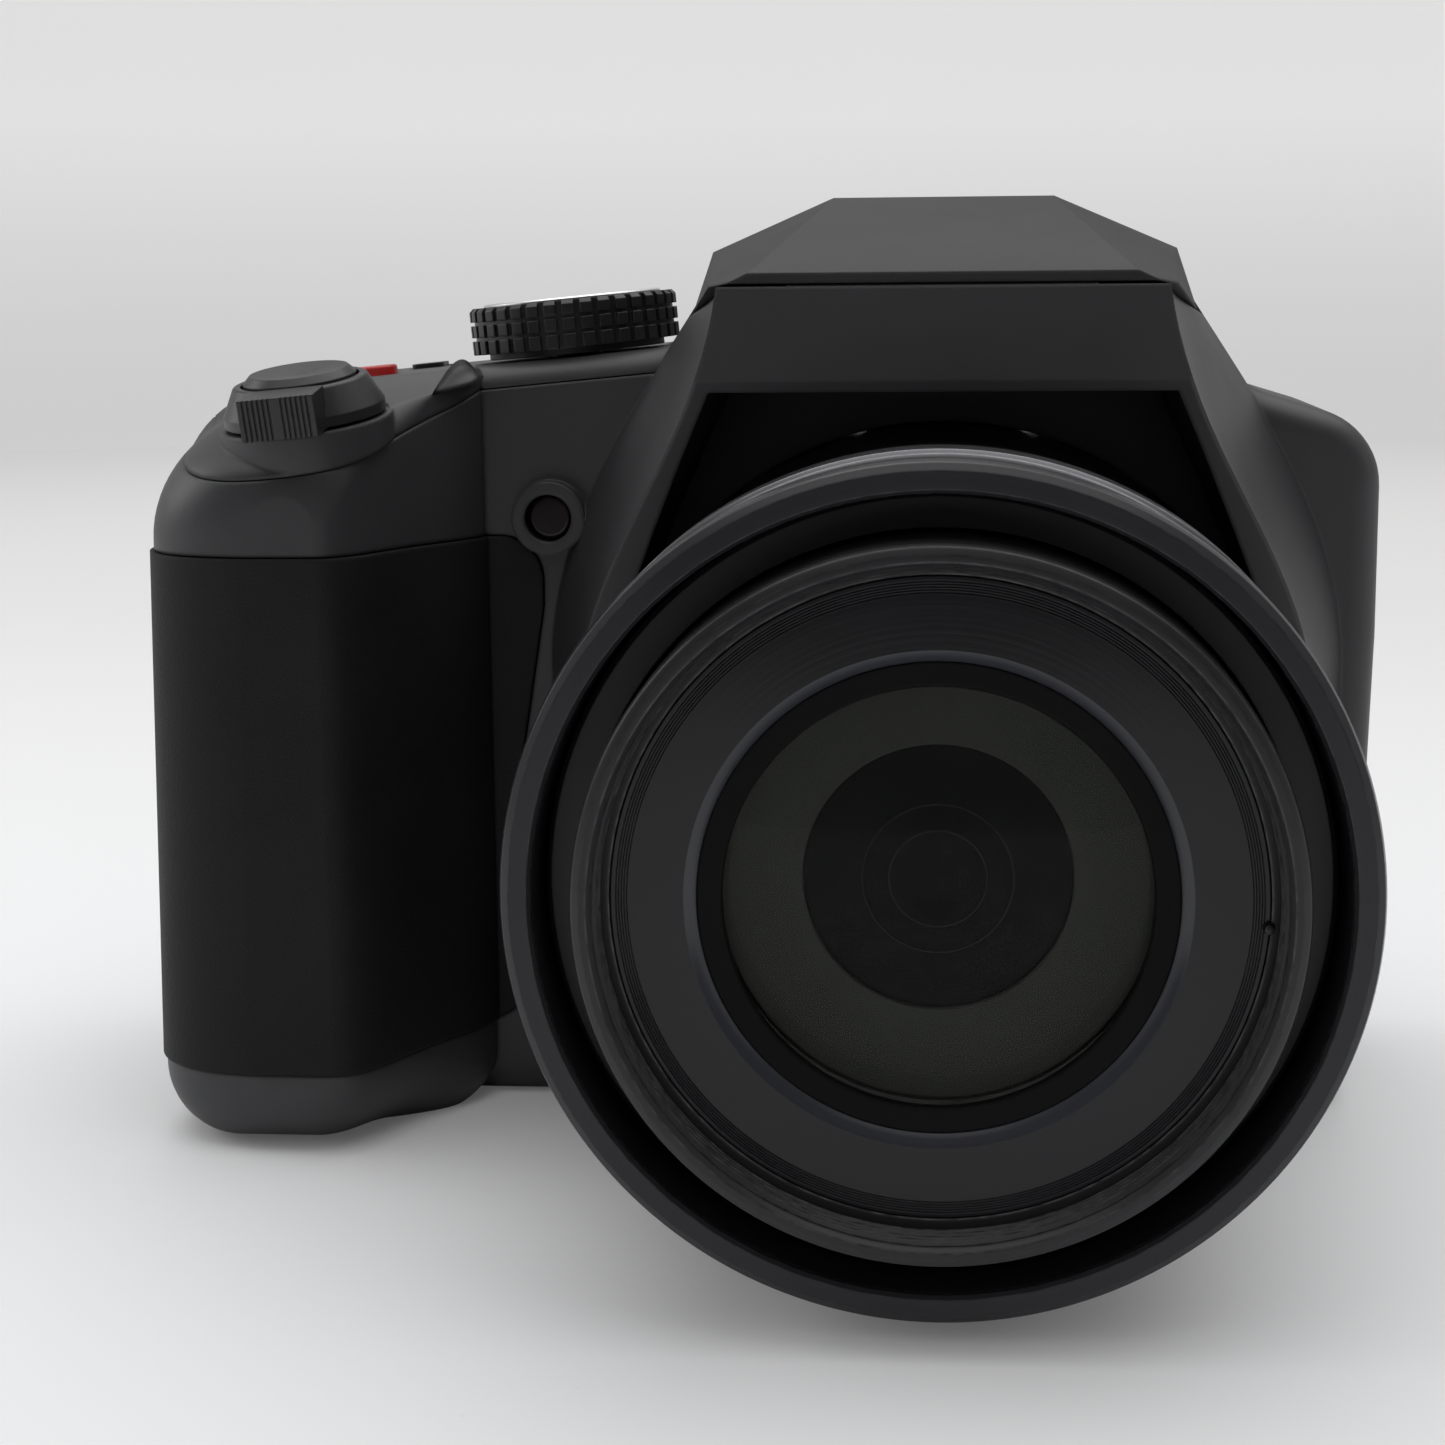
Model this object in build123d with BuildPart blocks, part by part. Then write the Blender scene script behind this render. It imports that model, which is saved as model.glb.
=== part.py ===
from build123d import *
import math
import os

# Bridge camera, as an assembly of separate pieces. All sizes are in millimetres.
# +X is to the right in a front view, the lens looks along -Y and +Z is up.
# The origin is the mouth of the tripod socket, under the optical axis.

os.makedirs("parts", exist_ok=True)

# Overall form
grip_side = 80.6  # optical axis to the outer side of the grip, at the base
plain_side = 44.4  # optical axis to the plain side
plain_foot = 43.0  # the same, at the base
back_y = 17.0
front_y = -18.0
grip_y = -40.0
wall = 1.8
waist_z = 50.0  # height at which the plain side is widest
shoulder_z = 71.0
shoulder_radius = 8.0
neck_x = 28.2  # foot of the hump on the plain side
neck_z = 76.0
hump_half = 23.2  # hump behind the flash
hump_side_z = 87.2
crest_half = 10.7
crest_z = 90.0
deck_x = -27.0  # where the grip side's deck meets the hump
deck_z = 79.7
deck_fall = math.tan(math.radians(5.2))  # the deck drops towards the grip side
deck_slant = math.hypot(1, deck_fall)  # height for each unit of thickness across the deck
grip_lean = math.tan(math.radians(1.0))  # the grip's outer side leans in as it rises
grip_slant = math.hypot(1, grip_lean)
slope_y = -19.0  # the deck tips forward from here
slope_fall = math.tan(math.radians(16.0))
bottom_round = 6.0
grip_corner = 12.0
front_round = 3.0
back_round = 4.0

# Clearances
running = 0.3  # between pieces that move past each other
seam = 0.15  # between fixed pieces at a parting line
fit = 0.05  # round a shaft or a pin, on the radius
over = 1.0  # how far a cut runs past what it cuts
reach = 120.0  # a length beyond the whole camera


def deck_height(x):
    return deck_z - (deck_x - x) * deck_fall


def grip_shoulder(left, drop):
    """Where the leaning side, starting at left, meets the deck lowered by drop."""
    return (left + grip_lean * (deck_height(0) - drop)) / (1 - grip_lean * deck_fall)


def slope_height(x, y):
    """Height of the deck at a place, where it tips forward as well."""
    return deck_height(x) - max(slope_y - y, 0) * slope_fall


def deck_plane(x, y, sloped=False):
    """A plane lying on the deck, with its X along the width."""
    across = Vector(1, 0, deck_fall)
    along = Vector(0, 1, slope_fall if sloped else 0)
    return Plane(origin=(x, y, slope_height(x, y)), x_dir=across, z_dir=across.cross(along))


# Body outline, seen from the front
outline_radii = [bottom_round, bottom_round, waist_z, shoulder_radius, grip_corner,
                 bottom_round, grip_corner, grip_corner, bottom_round, bottom_round, grip_corner]
outline_points = [(-grip_side, 0), (plain_foot, 0), (plain_side, waist_z),
                  (plain_side, shoulder_z), (neck_x, neck_z), (hump_half, hump_side_z),
                  (crest_half, crest_z), (-crest_half, crest_z), (-hump_half, hump_side_z),
                  (deck_x, deck_z),
                  (grip_shoulder(-grip_side, 0), deck_height(grip_shoulder(-grip_side, 0)))]

# Grip stations from the body to the front. Each row of shares gives the depth, then how far
# the outer side, the inner side, the bottom and the top draw in, then the four corner radii.
grip_inner = 47.5
grip_taper = 13.0
grip_draw = 12.0
least_radius = 0.4
grip_station_shares = [
    (0.00, 0.00, 0.00, 0.00, 0.00, 0.50, 0.42, 0.10, 1.00),
    (0.43, 0.02, 0.38, 0.02, 0.00, 0.56, 0.58, 0.12, 0.96),
    (0.71, 0.14, 0.60, 0.08, 0.02, 0.56, 0.62, 0.20, 0.87),
    (0.88, 0.39, 0.74, 0.28, 0.12, 0.50, 0.54, 0.25, 0.71),
    (0.97, 0.71, 0.87, 0.66, 0.33, 0.42, 0.42, 0.33, 0.50),
    (1.00, 1.00, 1.00, 1.02, 0.67, 0.33, 0.33, 0.25, 0.33)]

# Lens
lens_z = 37.4
housing_radius = 34.4
housing_bore = 32.9
housing_front = -85.0
housing_step = -11.0  # behind this the housing narrows to clear the tripod socket
housing_back = 4.5
housing_waist = 27.0

# Collar round the lens and the front of the hump. Each row gives a station's depth and its
# half-widths at four heights, all as shares of the body's own sizes.
panel_y = -50.0
panel_low = 77.5  # lower edge of the front panel
collar_toe_y = -29.0
collar_toe_z = 38.0
collar_top = 88.0
collar_heights = (collar_top, neck_z, 62.0, 45.0)
collar_bottom = 36.0
collar_station_shares = [
    (1.04, 0.455, 0.518, 0.666, 0.779),
    (0.80, 0.471, 0.545, 0.689, 0.793),
    (0.60, 0.500, 0.599, 0.743, 0.824),
    (0.34, 0.510, 0.685, 0.856, 0.928)]
throat_half_shares = (0.477, 0.622, 0.773)
throat_top = 76.5
throat_heights = (throat_top, *collar_heights[2:])
throat_bottom = 34.8

# Flash head and the zone in which it moves
flash_y = -8.0  # hinge axis
flash_z = 83.5
flash_swing = 8.9  # radius of the round back of the head's pocket
cheek_radius = 10.0
cheek_x = 19.3
ridge_y = -27.0
ridge_z = 94.3
lip_z = 87.2
seam_z = 86.0  # flash seam at the front panel
seam_fall = 0.108  # the seam drops towards the back
flash_wall = 1.6
flash_side_x = 25.0
flash_side_y = -22.0
flash_side_z = 83.4
flash_edge_x = 23.0
flash_edge_z = 89.2
panel_half = 20.9
facet_x = 15.5
facet_y = -45.0
facet_z = 89.0
flash_back_z = 92.0

# Parting lines
split_y = 1.0
deck_edge = 2.3
top_joint_z = 66.0
top_joint_y = -14.5
deck_side_plane = Plane(origin=(deck_x, 0, deck_z), x_dir=(0, 1, 0), z_dir=(1, 0, deck_fall))

# Openings in the covers
lamp_x = -40.6
lamp_z = 62.3
lamp_radius = 2.3
lamp_boss = 3.8
lamp_rise = 2.0
lens_gap = 0.2
pocket_half = 17.0  # room for the flash lamp under the head
pocket_front = -47.6
pocket_floor = 78.5
base_left = -52.0
base_right = 36.0
base_front = -11.0
base_back = 10.5
skin_proud = 0.35
skin_thick = 0.9
skin_top = 60.3
skin_low = 8.5
skin_right = -41.5
skin_foot = -44.0
skin_turn_z = 53.0
skin_corner = 4.5

# Battery and its door
battery_left = -74.6
battery_width = 14.3
battery_front = -21.0
battery_deep = 32.0
battery_low = 2.3
battery_high = 41.0
card_width = 2.1
card_front = -14.0
card_deep = 24.0
card_high = 32.0
box_wall = 1.1
hinge_x = -56.1  # battery door hinge
hinge_z = 0.95
hinge_radius = 0.9
pin_radius = 0.5
pin_bite = 1.2  # how far a pin runs into its seat
door_left = battery_left - box_wall
door_front = battery_front - box_wall
door_back = battery_front + battery_deep + box_wall
door_thick = 1.5

# Terminal door in the plain side
side_lean = (plain_side - plain_foot) / waist_z
port_z = 28.0
port_high = 30.0
port_front = -8.0
port_back = 9.0
port_plane = Plane(origin=(plain_foot + side_lean * port_z, 0, port_z), x_dir=(0, 1, 0),
                   z_dir=(1, 0, -side_lean))

# Strap lugs
lug_wire = 0.6
lug_ring = 1.7
lug_shank = 2.4
lug_z = 63.0
lug_sink = 1.0  # the shank's end lies this far inside the surface
lug_right = (plain_side - lug_sink, 0.0, lug_z)
lug_left = (lug_sink + grip_lean * lug_z - grip_side, 4.0, lug_z)

# Rear controls
window_left = -25.0
window_right = 38.8
window_low = 6.5
window_high = 57.5
window_deep = 1.3
window_ledge = 2.0
window_corner = 1.5
button_rise = 1.0
flange_wide = 0.9
flange_thick = 1.0
button_places = {"evf_button": (-33.5, 68.6, 2.6), "lock_button": (-46.0, 67.6, 3.2),
                 "playback_button": (-36.5, 56.5, 2.8), "menu_button": (-55.5, 12.5, 2.8),
                 "display_button": (-36.5, 12.5, 2.8)}
pad_x = -46.0
pad_z = 34.0
pad_radius = 10.5
pad_gap = 0.5
set_radius = 4.2
rear_dial_x = -68.0
rear_dial_y = 11.5
rear_dial_z = 65.7
rear_dial_radius = 8.0
rear_dial_thick = 4.6
shelf_thick = 2.0
stub_radius = 1.4

# Deck controls, each on a plane of its own
shutter_fall = math.tan(math.radians(8.0))
shutter_plane = Plane(origin=(-62.8, -31.4, 73.2), x_dir=(1, 0, deck_fall),
                      z_dir=(-deck_fall, -shutter_fall, 1))
seat_radius = 8.6
seat_deep = 5.0
stem_radius = 1.5
dial_plane = deck_plane(-39.2, -5.0)
dial_shaft = 2.5
movie_plane = deck_plane(-60.5, -10.0)
movie_radius = 2.6
burst_plane = deck_plane(-67.0, -3.0)
burst_radius = 2.3
switch_plane = deck_plane(-57.0, 4.0)
switch_wide = 3.6
switch_long = 4.4
switch_travel = 3.4
flash_button_radius = 2.2
flash_button_y = 7.0
flash_button_z = 81.6

# Viewfinder
hood_half = 18.0
hood_high = 87.0
hood_back = 23.0
hood_wall = 2.4
eye_half = 11.3
eye_low = 68.9
eye_high = 84.4
cup_half = 19.0
cup_low = 63.6
cup_high = 89.4
cup_back = 30.6
cup_corner = 5.0
diopter_radius = 2.7
diopter_y = 20.0
diopter_z = 75.0
diopter_thick = 2.2
diopter_shaft = 1.2

# Base
socket_flange = 6.5
socket_flange_thick = 1.2
socket_radius = 5.0
socket_high = 6.5
socket_bore = 3.175
screw_head = 1.9
screw_shank = 0.9
screw_long = 4.4
screw_places = [(-47.0, -7.0), (-47.0, 6.0), (31.5, -7.0), (31.5, 6.0)]

# Thumb pad on the back of the grip
thumb_left = -77.0
thumb_right = -58.0
thumb_low = 34.0
thumb_high = 61.0
thumb_thick = 2.2
thumb_corner = 5.0

# Barrels of the lens
trim_radius = 35.5
trim_back = -66.0
trim_lip = 1.0
bevel = 0.4
outer_barrel_radius = 32.5
outer_barrel_wall = 1.3
outer_barrel_front = -78.0
outer_barrel_back = -30.0
barrel_lip = 1.5
inner_barrel_radius = 29.3
inner_barrel_wall = 1.4
inner_barrel_front = -88.5
inner_barrel_back = -36.0
guide_rise = 1.6  # guide ring at the back of the inner barrel
guide_long = 2.0
thread_radius = 27.5
thread_deep = 3.8
relief_long = 0.5  # groove behind the thread
relief_radius = 28.3

# Front plate and glass
plate_thick = 1.4
plate_seat = 26.5
carrier_thick = 1.5
glass_radius = 18.1
glass_lip = 0.7
glass_lip_thick = 1.2
glass_lip_rise = 0.6
glass_bulge = 1.4
glass_back = -78.0
holder_wall = 1.4
holder_back = -68.0
baffle_front = -77.0
baffle_deep = 2.4
baffle_wall = 1.2
pupil_radius = 11.2
pupil_back = -69.5
pupil_glass_thick = 4.4
pupil_bulge = 0.5
focus_front = -6.0
focus_thick = 5.0
focus_bulge = 1.5
sensor_window = 16.0

# Mode dial
dial_neck = 9.4
dial_low = 1.0
dial_radius = 11.1
dial_high = 5.9
dial_notches = 36
notch_wide = 0.7
notch_deep = 0.45
groove_wide = 0.4
dial_rows = 3
cap_radius = 9.5
cap_rise = 0.3

# Shutter button and zoom lever
shutter_radius = 5.6
shutter_low = 1.6
shutter_high = 5.0
shutter_dish = 0.5
shutter_edge = 0.7
stem_long = 6.0
lever_radius = 8.0
lever_top_radius = 6.6
lever_foot = 1.3  # height at which the lever starts to narrow
lever_high = 4.1
tab_wide = 7.4
tab_out = 11.2
tab_high = 4.3
tab_ribs = 6
rib_pitch = 0.5
rib_deep = 0.25

# Small controls
switch_rise = 0.5
switch_corner = 0.9
button_edge = 0.3
pad_rise = 0.8
pad_play = 1.0
set_rise = 0.5
set_sink = 4.5
set_flange = 5.4
rear_notches = 40
wheel_notches = 18

# Viewfinder insides
hood_corner = 3.0
eye_corner = 1.8
display_front = 3.2
display_margin = 1.8

# Door latch, sockets and frame
latch_wide = 4.4
latch_long = 6.0
latch_travel = 3.0
latch_deep = 0.8
latch_y = -8.0
jack_half = 5.0
jack_deep = 3.9
jack_rise = 8.0
sheet = 1.2
chassis_y = 7.4
chassis_top = 62.0
flange_x = 35.8
chassis_slot = 8.0
board_left = -53.0
chip_high = 0.9
chip = 9.0
chip_shares = [(0.80, 0.30, 1.0, 1.0), (0.55, 0.75, 1.4, 1.0), (-0.25, 0.20, 1.6, 1.3)]
sensor_half = 12.0
panel_thick = 3.6
capacitor_radius = 5.5
capacitor_x = -41.5
capacitor_y = -2.0
capacitor_high = 34.0
motor_radius = 5.0
motor_x = 29.5
motor_z = 10.5
motor_front = -10.5

# Flash insides and hinge
hinge_pin_radius = 1.2
hinge_pin_half = 23.5
lamp_half = 14.0
lamp_front = -47.0
lamp_window_z = 84.4
lamp_foot_y = -38.7
lamp_foot_z = 78.9
lamp_back = -31.0
lens_half = 13.0
lens_thick = 0.8
lens_margin = 0.7

# Planes that pieces lie on
lens_plane = Plane(origin=(0, 0, lens_z), x_dir=(1, 0, 0), z_dir=(0, 1, 0))
pad_plane = Plane(origin=(pad_x, back_y, pad_z), x_dir=(1, 0, 0), z_dir=(0, 1, 0))
hinge_plane = Plane(origin=(0, flash_y, flash_z), x_dir=(0, 1, 0), z_dir=(1, 0, 0))
wheel_plane = Plane(origin=(hood_half, diopter_y, diopter_z), x_dir=(0, 1, 0), z_dir=(1, 0, 0))
hump_lean = (neck_x - hump_half) / (hump_side_z - neck_z)
flash_button_plane = Plane(origin=(neck_x - (flash_button_z - neck_z) * hump_lean,
                                   flash_button_y, flash_button_z),
                           x_dir=(0, 1, 0), z_dir=(1, 0, hump_lean))
lamp_fall = (lamp_window_z - lamp_foot_z) / (lamp_foot_y - lamp_front)
flash_window_plane = Plane(origin=(0, (lamp_front + lamp_foot_y) / 2,
                                   (lamp_window_z + lamp_foot_z) / 2),
                           x_dir=(1, 0, 0), z_dir=(0, -lamp_fall, -1))
rear_buttons = {name: (Plane(origin=(x, back_y, z), x_dir=(1, 0, 0), z_dir=(0, 1, 0)), radius)
                for name, (x, z, radius) in button_places.items()}
top_buttons = {"movie_button": (movie_plane, movie_radius),
               "burst_button": (burst_plane, burst_radius),
               "flash_button": (flash_button_plane, flash_button_radius)}


def slab_form(inset):
    """The body without its grip, drawn in on all sides by inset."""
    with BuildPart() as slab:
        with BuildSketch(Plane.XZ.offset(inset - back_y)):
            with BuildLine():
                FilletPolyline(*outline_points, radius=outline_radii, close=True)
            make_face()
            if inset:
                offset(amount=-inset)
        extrude(amount=back_y - front_y - 2 * inset)
        fillet(slab.faces().sort_by(Axis.Y)[-1].edges(), radius=max(back_round - inset, least_radius))
        fillet(slab.faces().sort_by(Axis.Y)[0].edges(), radius=max(front_round - inset, least_radius))
    return slab.part


def grip_outline(y, left, right, low, drop, radii):
    """The grip's outline at a depth, with its top lowered from the deck by drop."""
    shoulder = grip_shoulder(left, drop)
    with BuildSketch(Plane.XZ.offset(-y)) as station:
        with BuildLine():
            FilletPolyline((left + low * grip_lean, low), (right, low),
                           (right, deck_height(right) - drop),
                           (shoulder, deck_height(shoulder) - drop), radius=radii, close=True)
        make_face()
    return station.sketch


def grip_form(inset):
    """The grip, lofted from the body forward, drawn in on all sides by inset."""
    with BuildPart() as grip:
        for depth, outer, inner, base, top, *corner_shares in grip_station_shares:
            y = slope_y + depth * (grip_y + inset - slope_y)
            left = -grip_side + outer * grip_draw + inset * grip_slant
            right = -grip_inner - inner * grip_taper - inset
            low = base * bottom_round + inset
            drop = (slope_y - y) * slope_fall + top * bottom_round + inset * deck_slant
            radii = [max(share * grip_corner - inset, least_radius) for share in corner_shares]
            add(grip_outline(y, left, right, low, drop, radii))
        loft()
        split(bisect_by=Plane.XY.offset(inset), keep=Keep.TOP)
    return grip.part


def grip_root(inset):
    """Straight piece of the grip that carries it into the body's side."""
    radii = [max(share * grip_corner - inset, least_radius) for share in grip_station_shares[0][5:]]
    left, right = -grip_side + inset * grip_slant, -grip_inner - inset
    with BuildPart() as root:
        extrude(grip_outline(slope_y, left, right, inset, inset * deck_slant, radii),
                amount=slope_y - front_y - 2 * front_round - inset)
    return root.part


def body_form(inset):
    with BuildPart() as body:
        add(slab_form(inset))
        add(grip_root(inset))
        add(grip_form(inset))
    return body.part


def tent_outline(y, half_shares, heights, bottom):
    """A tent-shaped outline with a straight top, spread sides and a round foot."""
    side = [(share * plain_side, height) for share, height in zip(half_shares, heights)]
    other = [(-half, height) for half, height in reversed(side)]
    with BuildSketch(Plane.XZ.offset(-y)) as tent:
        with BuildLine():
            Line(other[-1], side[0])
            Spline(*side)
            ThreePointArc(side[-1], (0, lens_z - bottom), other[0])
            Spline(*other)
        make_face()
    return tent.sketch


def flash_form(inset):
    """Outer shape of the flash head, with flat facets, drawn in by inset."""
    ridge = Vector(crest_half, ridge_y, ridge_z)
    edge = Vector(flash_edge_x, flash_side_y, flash_edge_z)
    side = Vector(flash_side_x, flash_side_y, flash_side_z)
    corner = Vector(panel_half, panel_y, seam_z)
    facet = Vector(facet_x, facet_y, facet_z)
    normals = [(edge, (corner - side).cross(edge - side)),
               (edge, Vector(0, 1, 0).cross(edge - side)),
               (ridge, (facet - ridge).cross(edge - ridge)),
               (ridge, Vector(ridge_z - flash_edge_z, 0, flash_edge_x - crest_half))]
    with BuildPart() as head:
        with BuildSketch(Plane.YZ.offset(-flash_side_x - over)):
            with BuildLine():
                Polyline((panel_y, seam_z - cheek_radius), (panel_y, lip_z), (ridge_y, ridge_z),
                         (flash_y, flash_back_z), (0, crest_z), (0, seam_z - cheek_radius), close=True)
            make_face()
            if inset:
                offset(amount=-inset, kind=Kind.INTERSECTION)
        extrude(amount=2 * (flash_side_x + over))
        for point, normal in normals:
            out = normal.normalized() if normal.X > 0 else -normal.normalized()
            for sign in (1, -1):
                away = Vector(sign * out.X, out.Y, out.Z)
                place = Vector(sign * point.X, point.Y, point.Z) - away * inset
                split(bisect_by=Plane(origin=place, z_dir=away), keep=Keep.BOTTOM)
    return head.part


def flash_zone(side_gap, seam_gap, swing_gap):
    """The space that the flash head takes out of the hump, less the given gaps."""
    with BuildPart() as zone:
        with BuildSketch(Plane.YZ.offset(-flash_side_x - over)):
            with BuildLine():
                Polyline((panel_y - over, seam_z + seam_fall * over + seam_gap),
                         (flash_y, seam_z - seam_fall * (flash_y - panel_y) + seam_gap),
                         (flash_y, ridge_z + over), (panel_y - over, ridge_z + over), close=True)
            make_face()
        extrude(amount=2 * (flash_side_x + over))
        with BuildSketch(Plane.YZ.offset(-flash_side_x - over)):
            with Locations((flash_y, flash_z)):
                Circle(cheek_radius + side_gap)
        extrude(amount=2 * (flash_side_x + over), mode=Mode.SUBTRACT)
        with BuildSketch(Plane.YZ.offset(-cheek_x + side_gap)):
            with BuildLine():
                Polyline((flash_y - cheek_radius - over, seam_z
                          - seam_fall * (flash_y - cheek_radius - over - panel_y) + seam_gap),
                         (flash_y, seam_z - seam_fall * (flash_y - panel_y) + seam_gap),
                         (flash_y, ridge_z + over),
                         (flash_y - cheek_radius - over, ridge_z + over), close=True)
            make_face()
        extrude(amount=2 * (cheek_x - side_gap))
        with BuildSketch(Plane.YZ.offset(-cheek_x + side_gap)):
            with Locations((flash_y, flash_z)):
                Circle(flash_swing - swing_gap)
        extrude(amount=2 * (cheek_x - side_gap))
    return zone.part


def top_zone(drop):
    """Everything that belongs to the top cover, its lower bounds lowered by drop."""
    with BuildPart() as zone:
        with BuildSketch(deck_side_plane):
            with BuildLine():
                Polyline((slope_y, -deck_edge - drop),
                         (slope_y - reach, -deck_edge - drop - reach * slope_fall),
                         (slope_y - reach, reach), (reach, reach), (reach, -deck_edge - drop),
                         close=True)
            make_face()
        extrude(amount=-reach)
        with BuildSketch(Plane.XY.offset(top_joint_z - drop)):
            with Locations((deck_x - wall, top_joint_y - drop)):
                Rectangle(reach, reach, align=(Align.MIN, Align.MIN))
        extrude(amount=reach)
    return zone.part


def cover_zone(y_from, y_to):
    """Everything below the top cover, between two places along the depth."""
    with BuildPart() as zone:
        block((-reach, reach), (y_from, y_to), (-over, reach))
        add(top_zone(seam), mode=Mode.SUBTRACT)
    return zone.part


def peg(x, z, radius, y_from, y_to, mode=Mode.ADD):
    """A round peg or hole along Y."""
    with BuildSketch(Plane.XZ.offset(-y_to)) as face:
        with Locations((x, z)):
            Circle(radius)
    extrude(face.sketch, amount=y_to - y_from, mode=mode)


def block(x, y, z, mode=Mode.ADD):
    """A block between two places on each axis."""
    with BuildSketch(Plane.XY.offset(z[0])) as face:
        with Locations(((x[0] + x[1]) / 2, (y[0] + y[1]) / 2)):
            Rectangle(x[1] - x[0], y[1] - y[0])
    extrude(face.sketch, amount=z[1] - z[0], mode=mode)


def base_outline(z, grow):
    """The base plate's outline."""
    with BuildSketch(Plane.XY.offset(z)) as base:
        with BuildLine():
            FilletPolyline((base_right, base_front), (base_right, base_back),
                           (base_left, base_back), (base_left, base_front),
                           radius=2 * wall, close=True)
        make_face()
        if grow:
            offset(amount=grow)
    return base.sketch


def rounded(plane, x, y, corner, grow=0):
    """A rounded rectangle between two places on each axis of a plane."""
    with BuildSketch(plane) as face:
        with Locations(((x[0] + x[1]) / 2, (y[0] + y[1]) / 2)):
            RectangleRounded(x[1] - x[0] + 2 * grow, y[1] - y[0] + 2 * grow, corner + grow)
    return face.sketch


def disc(plane, radius, low, high, mode=Mode.ADD, x=0, y=0):
    """A round piece or hole standing on a plane, between two heights."""
    with BuildSketch(plane.offset(low)) as face:
        with Locations((x, y)):
            Circle(radius)
    extrude(face.sketch, amount=high - low, mode=mode)


def skin_region(grow):
    with BuildPart() as region:
        with BuildSketch(Plane.XZ.offset(-split_y + seam)):
            with BuildLine():
                FilletPolyline((-grip_side - over - wall, skin_low), (skin_foot, skin_low),
                               (skin_foot, lens_z), (skin_right, skin_turn_z),
                               (skin_right, skin_top), (-grip_side - over - wall, skin_top),
                               radius=[0, skin_corner, skin_corner, skin_corner,
                                       skin_corner, 0], close=True)
            make_face()
            if grow:
                offset(amount=grow)
        extrude(amount=split_y - grip_y + over + wall)
    return region.part


def base_cuts():
    """Cut the base plate's, the battery door's and the door pin's room out of a cover."""
    extrude(base_outline(-over, seam), amount=over + 2 * wall, mode=Mode.SUBTRACT)
    block((door_left - running, hinge_x + hinge_radius + 2 * running),
          (door_front - running, door_back + running), (-over, 2 * wall), Mode.SUBTRACT)
    peg(hinge_x, hinge_z, pin_radius + fit, door_front - pin_bite, door_back + pin_bite,
        Mode.SUBTRACT)


def port_cuts():
    """Cut the terminal door's opening and its pin's seats out of a cover."""
    extrude(rounded(port_plane.offset(-2 * wall), (port_front - hinge_radius - 2 * running,
                                                   port_back + running),
                    (-port_high / 2 - running, port_high / 2 + running), running),
            amount=3 * wall, mode=Mode.SUBTRACT)
    port_pin(pin_radius + fit, pin_bite, Mode.SUBTRACT)


def port_pin(radius, bite, mode=Mode.ADD):
    """A round piece or hole on the terminal door's hinge line."""
    along = Plane(origin=port_plane.from_local_coords((port_front, 0, -hinge_radius)),
                  x_dir=(0, 1, 0), z_dir=port_plane.y_dir)
    disc(along, radius, -port_high / 2 - bite, port_high / 2 + bite, mode)


def lug_holes(grow, mode):
    """The shanks of the strap lugs, or the holes that take them."""
    for (x, y, z), sign in ((lug_right, 1), (lug_left, -1)):
        shank = Plane(origin=(x - sign * 2 * wall, y, z), x_dir=(0, 1, 0), z_dir=(sign, 0, 0))
        disc(shank, lug_shank + grow, 0, 2 * wall if mode == Mode.ADD else 4 * wall, mode)


def turned(plane, *points, mode=Mode.ADD):
    """A piece turned round a plane's axis, from a half section of radii and heights."""
    side = Plane(origin=plane.origin, x_dir=plane.x_dir, z_dir=-plane.y_dir)
    with BuildSketch(side) as section:
        with BuildLine():
            Polyline(*points, close=True)
        make_face()
    revolve(section.sketch, axis=Axis(plane.origin, plane.z_dir), mode=mode)


def glass(radius, front, edge, back):
    """A round lens on the optical axis, with a domed front and a flat back."""
    with BuildSketch(Plane.XY.offset(lens_z)) as section:
        with BuildLine():
            dome = TangentArc((0, front), (radius, edge), tangent=(1, 0))
            Polyline(dome @ 1, (radius, back), (0, back), (0, front))
        make_face()
    revolve(section.sketch, axis=Axis(lens_plane.origin, lens_plane.z_dir))


def rim_notches(plane, radius, low, high, count, wide, deep, x=0, y=0):
    """Cut even notches into the rim of a round piece."""
    with BuildSketch(plane.offset(low)) as notches:
        with Locations((x, y)):
            with PolarLocations(radius, count):
                Rectangle(2 * deep, wide)
    extrude(notches.sketch, amount=high - low, mode=Mode.SUBTRACT)


def button_hole(plane, radius):
    disc(plane, radius + running, -3 * wall, over, Mode.SUBTRACT)


def lug_loop(x, y, z, sign):
    """Wire loop of a strap lug, a half ring that stands out from its shank."""
    with BuildPart() as loop:
        with BuildLine(Plane(origin=(x, y, z), x_dir=(0, 1, 0), z_dir=(0, 0, sign))) as bend:
            CenterArc((0, 0), lug_ring, 180, 180)
        with BuildSketch(Plane(origin=bend.line @ 0, z_dir=bend.line % 0)):
            Circle(lug_wire)
        sweep(path=bend.line)
    return loop.part


outer = body_form(0)
core = body_form(wall)
skin_bed = body_form(skin_thick)
with BuildPart() as skin_cut:
    add(skin_region(seam))
    add(skin_bed, mode=Mode.SUBTRACT)

# Front cover: the front half of the casing, with the grip's core and the lens collar
with BuildPart() as collar:
    for depth, *half_shares in collar_station_shares:
        add(tent_outline(depth * panel_y, half_shares, collar_heights, collar_bottom))
    loft()
    collar_slope = (collar_toe_y - panel_y) / (collar_toe_z - panel_low)
    with BuildSketch(Plane.YZ.offset(-plain_side - over)):
        with BuildLine():
            Polyline((panel_y, collar_top + over), (panel_y, panel_low),
                     (panel_y - collar_slope * (panel_low + over), -over),
                     (panel_y - reach, -over), (panel_y - reach, collar_top + over), close=True)
        make_face()
    extrude(amount=2 * (plain_side + over), mode=Mode.SUBTRACT)

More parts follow.
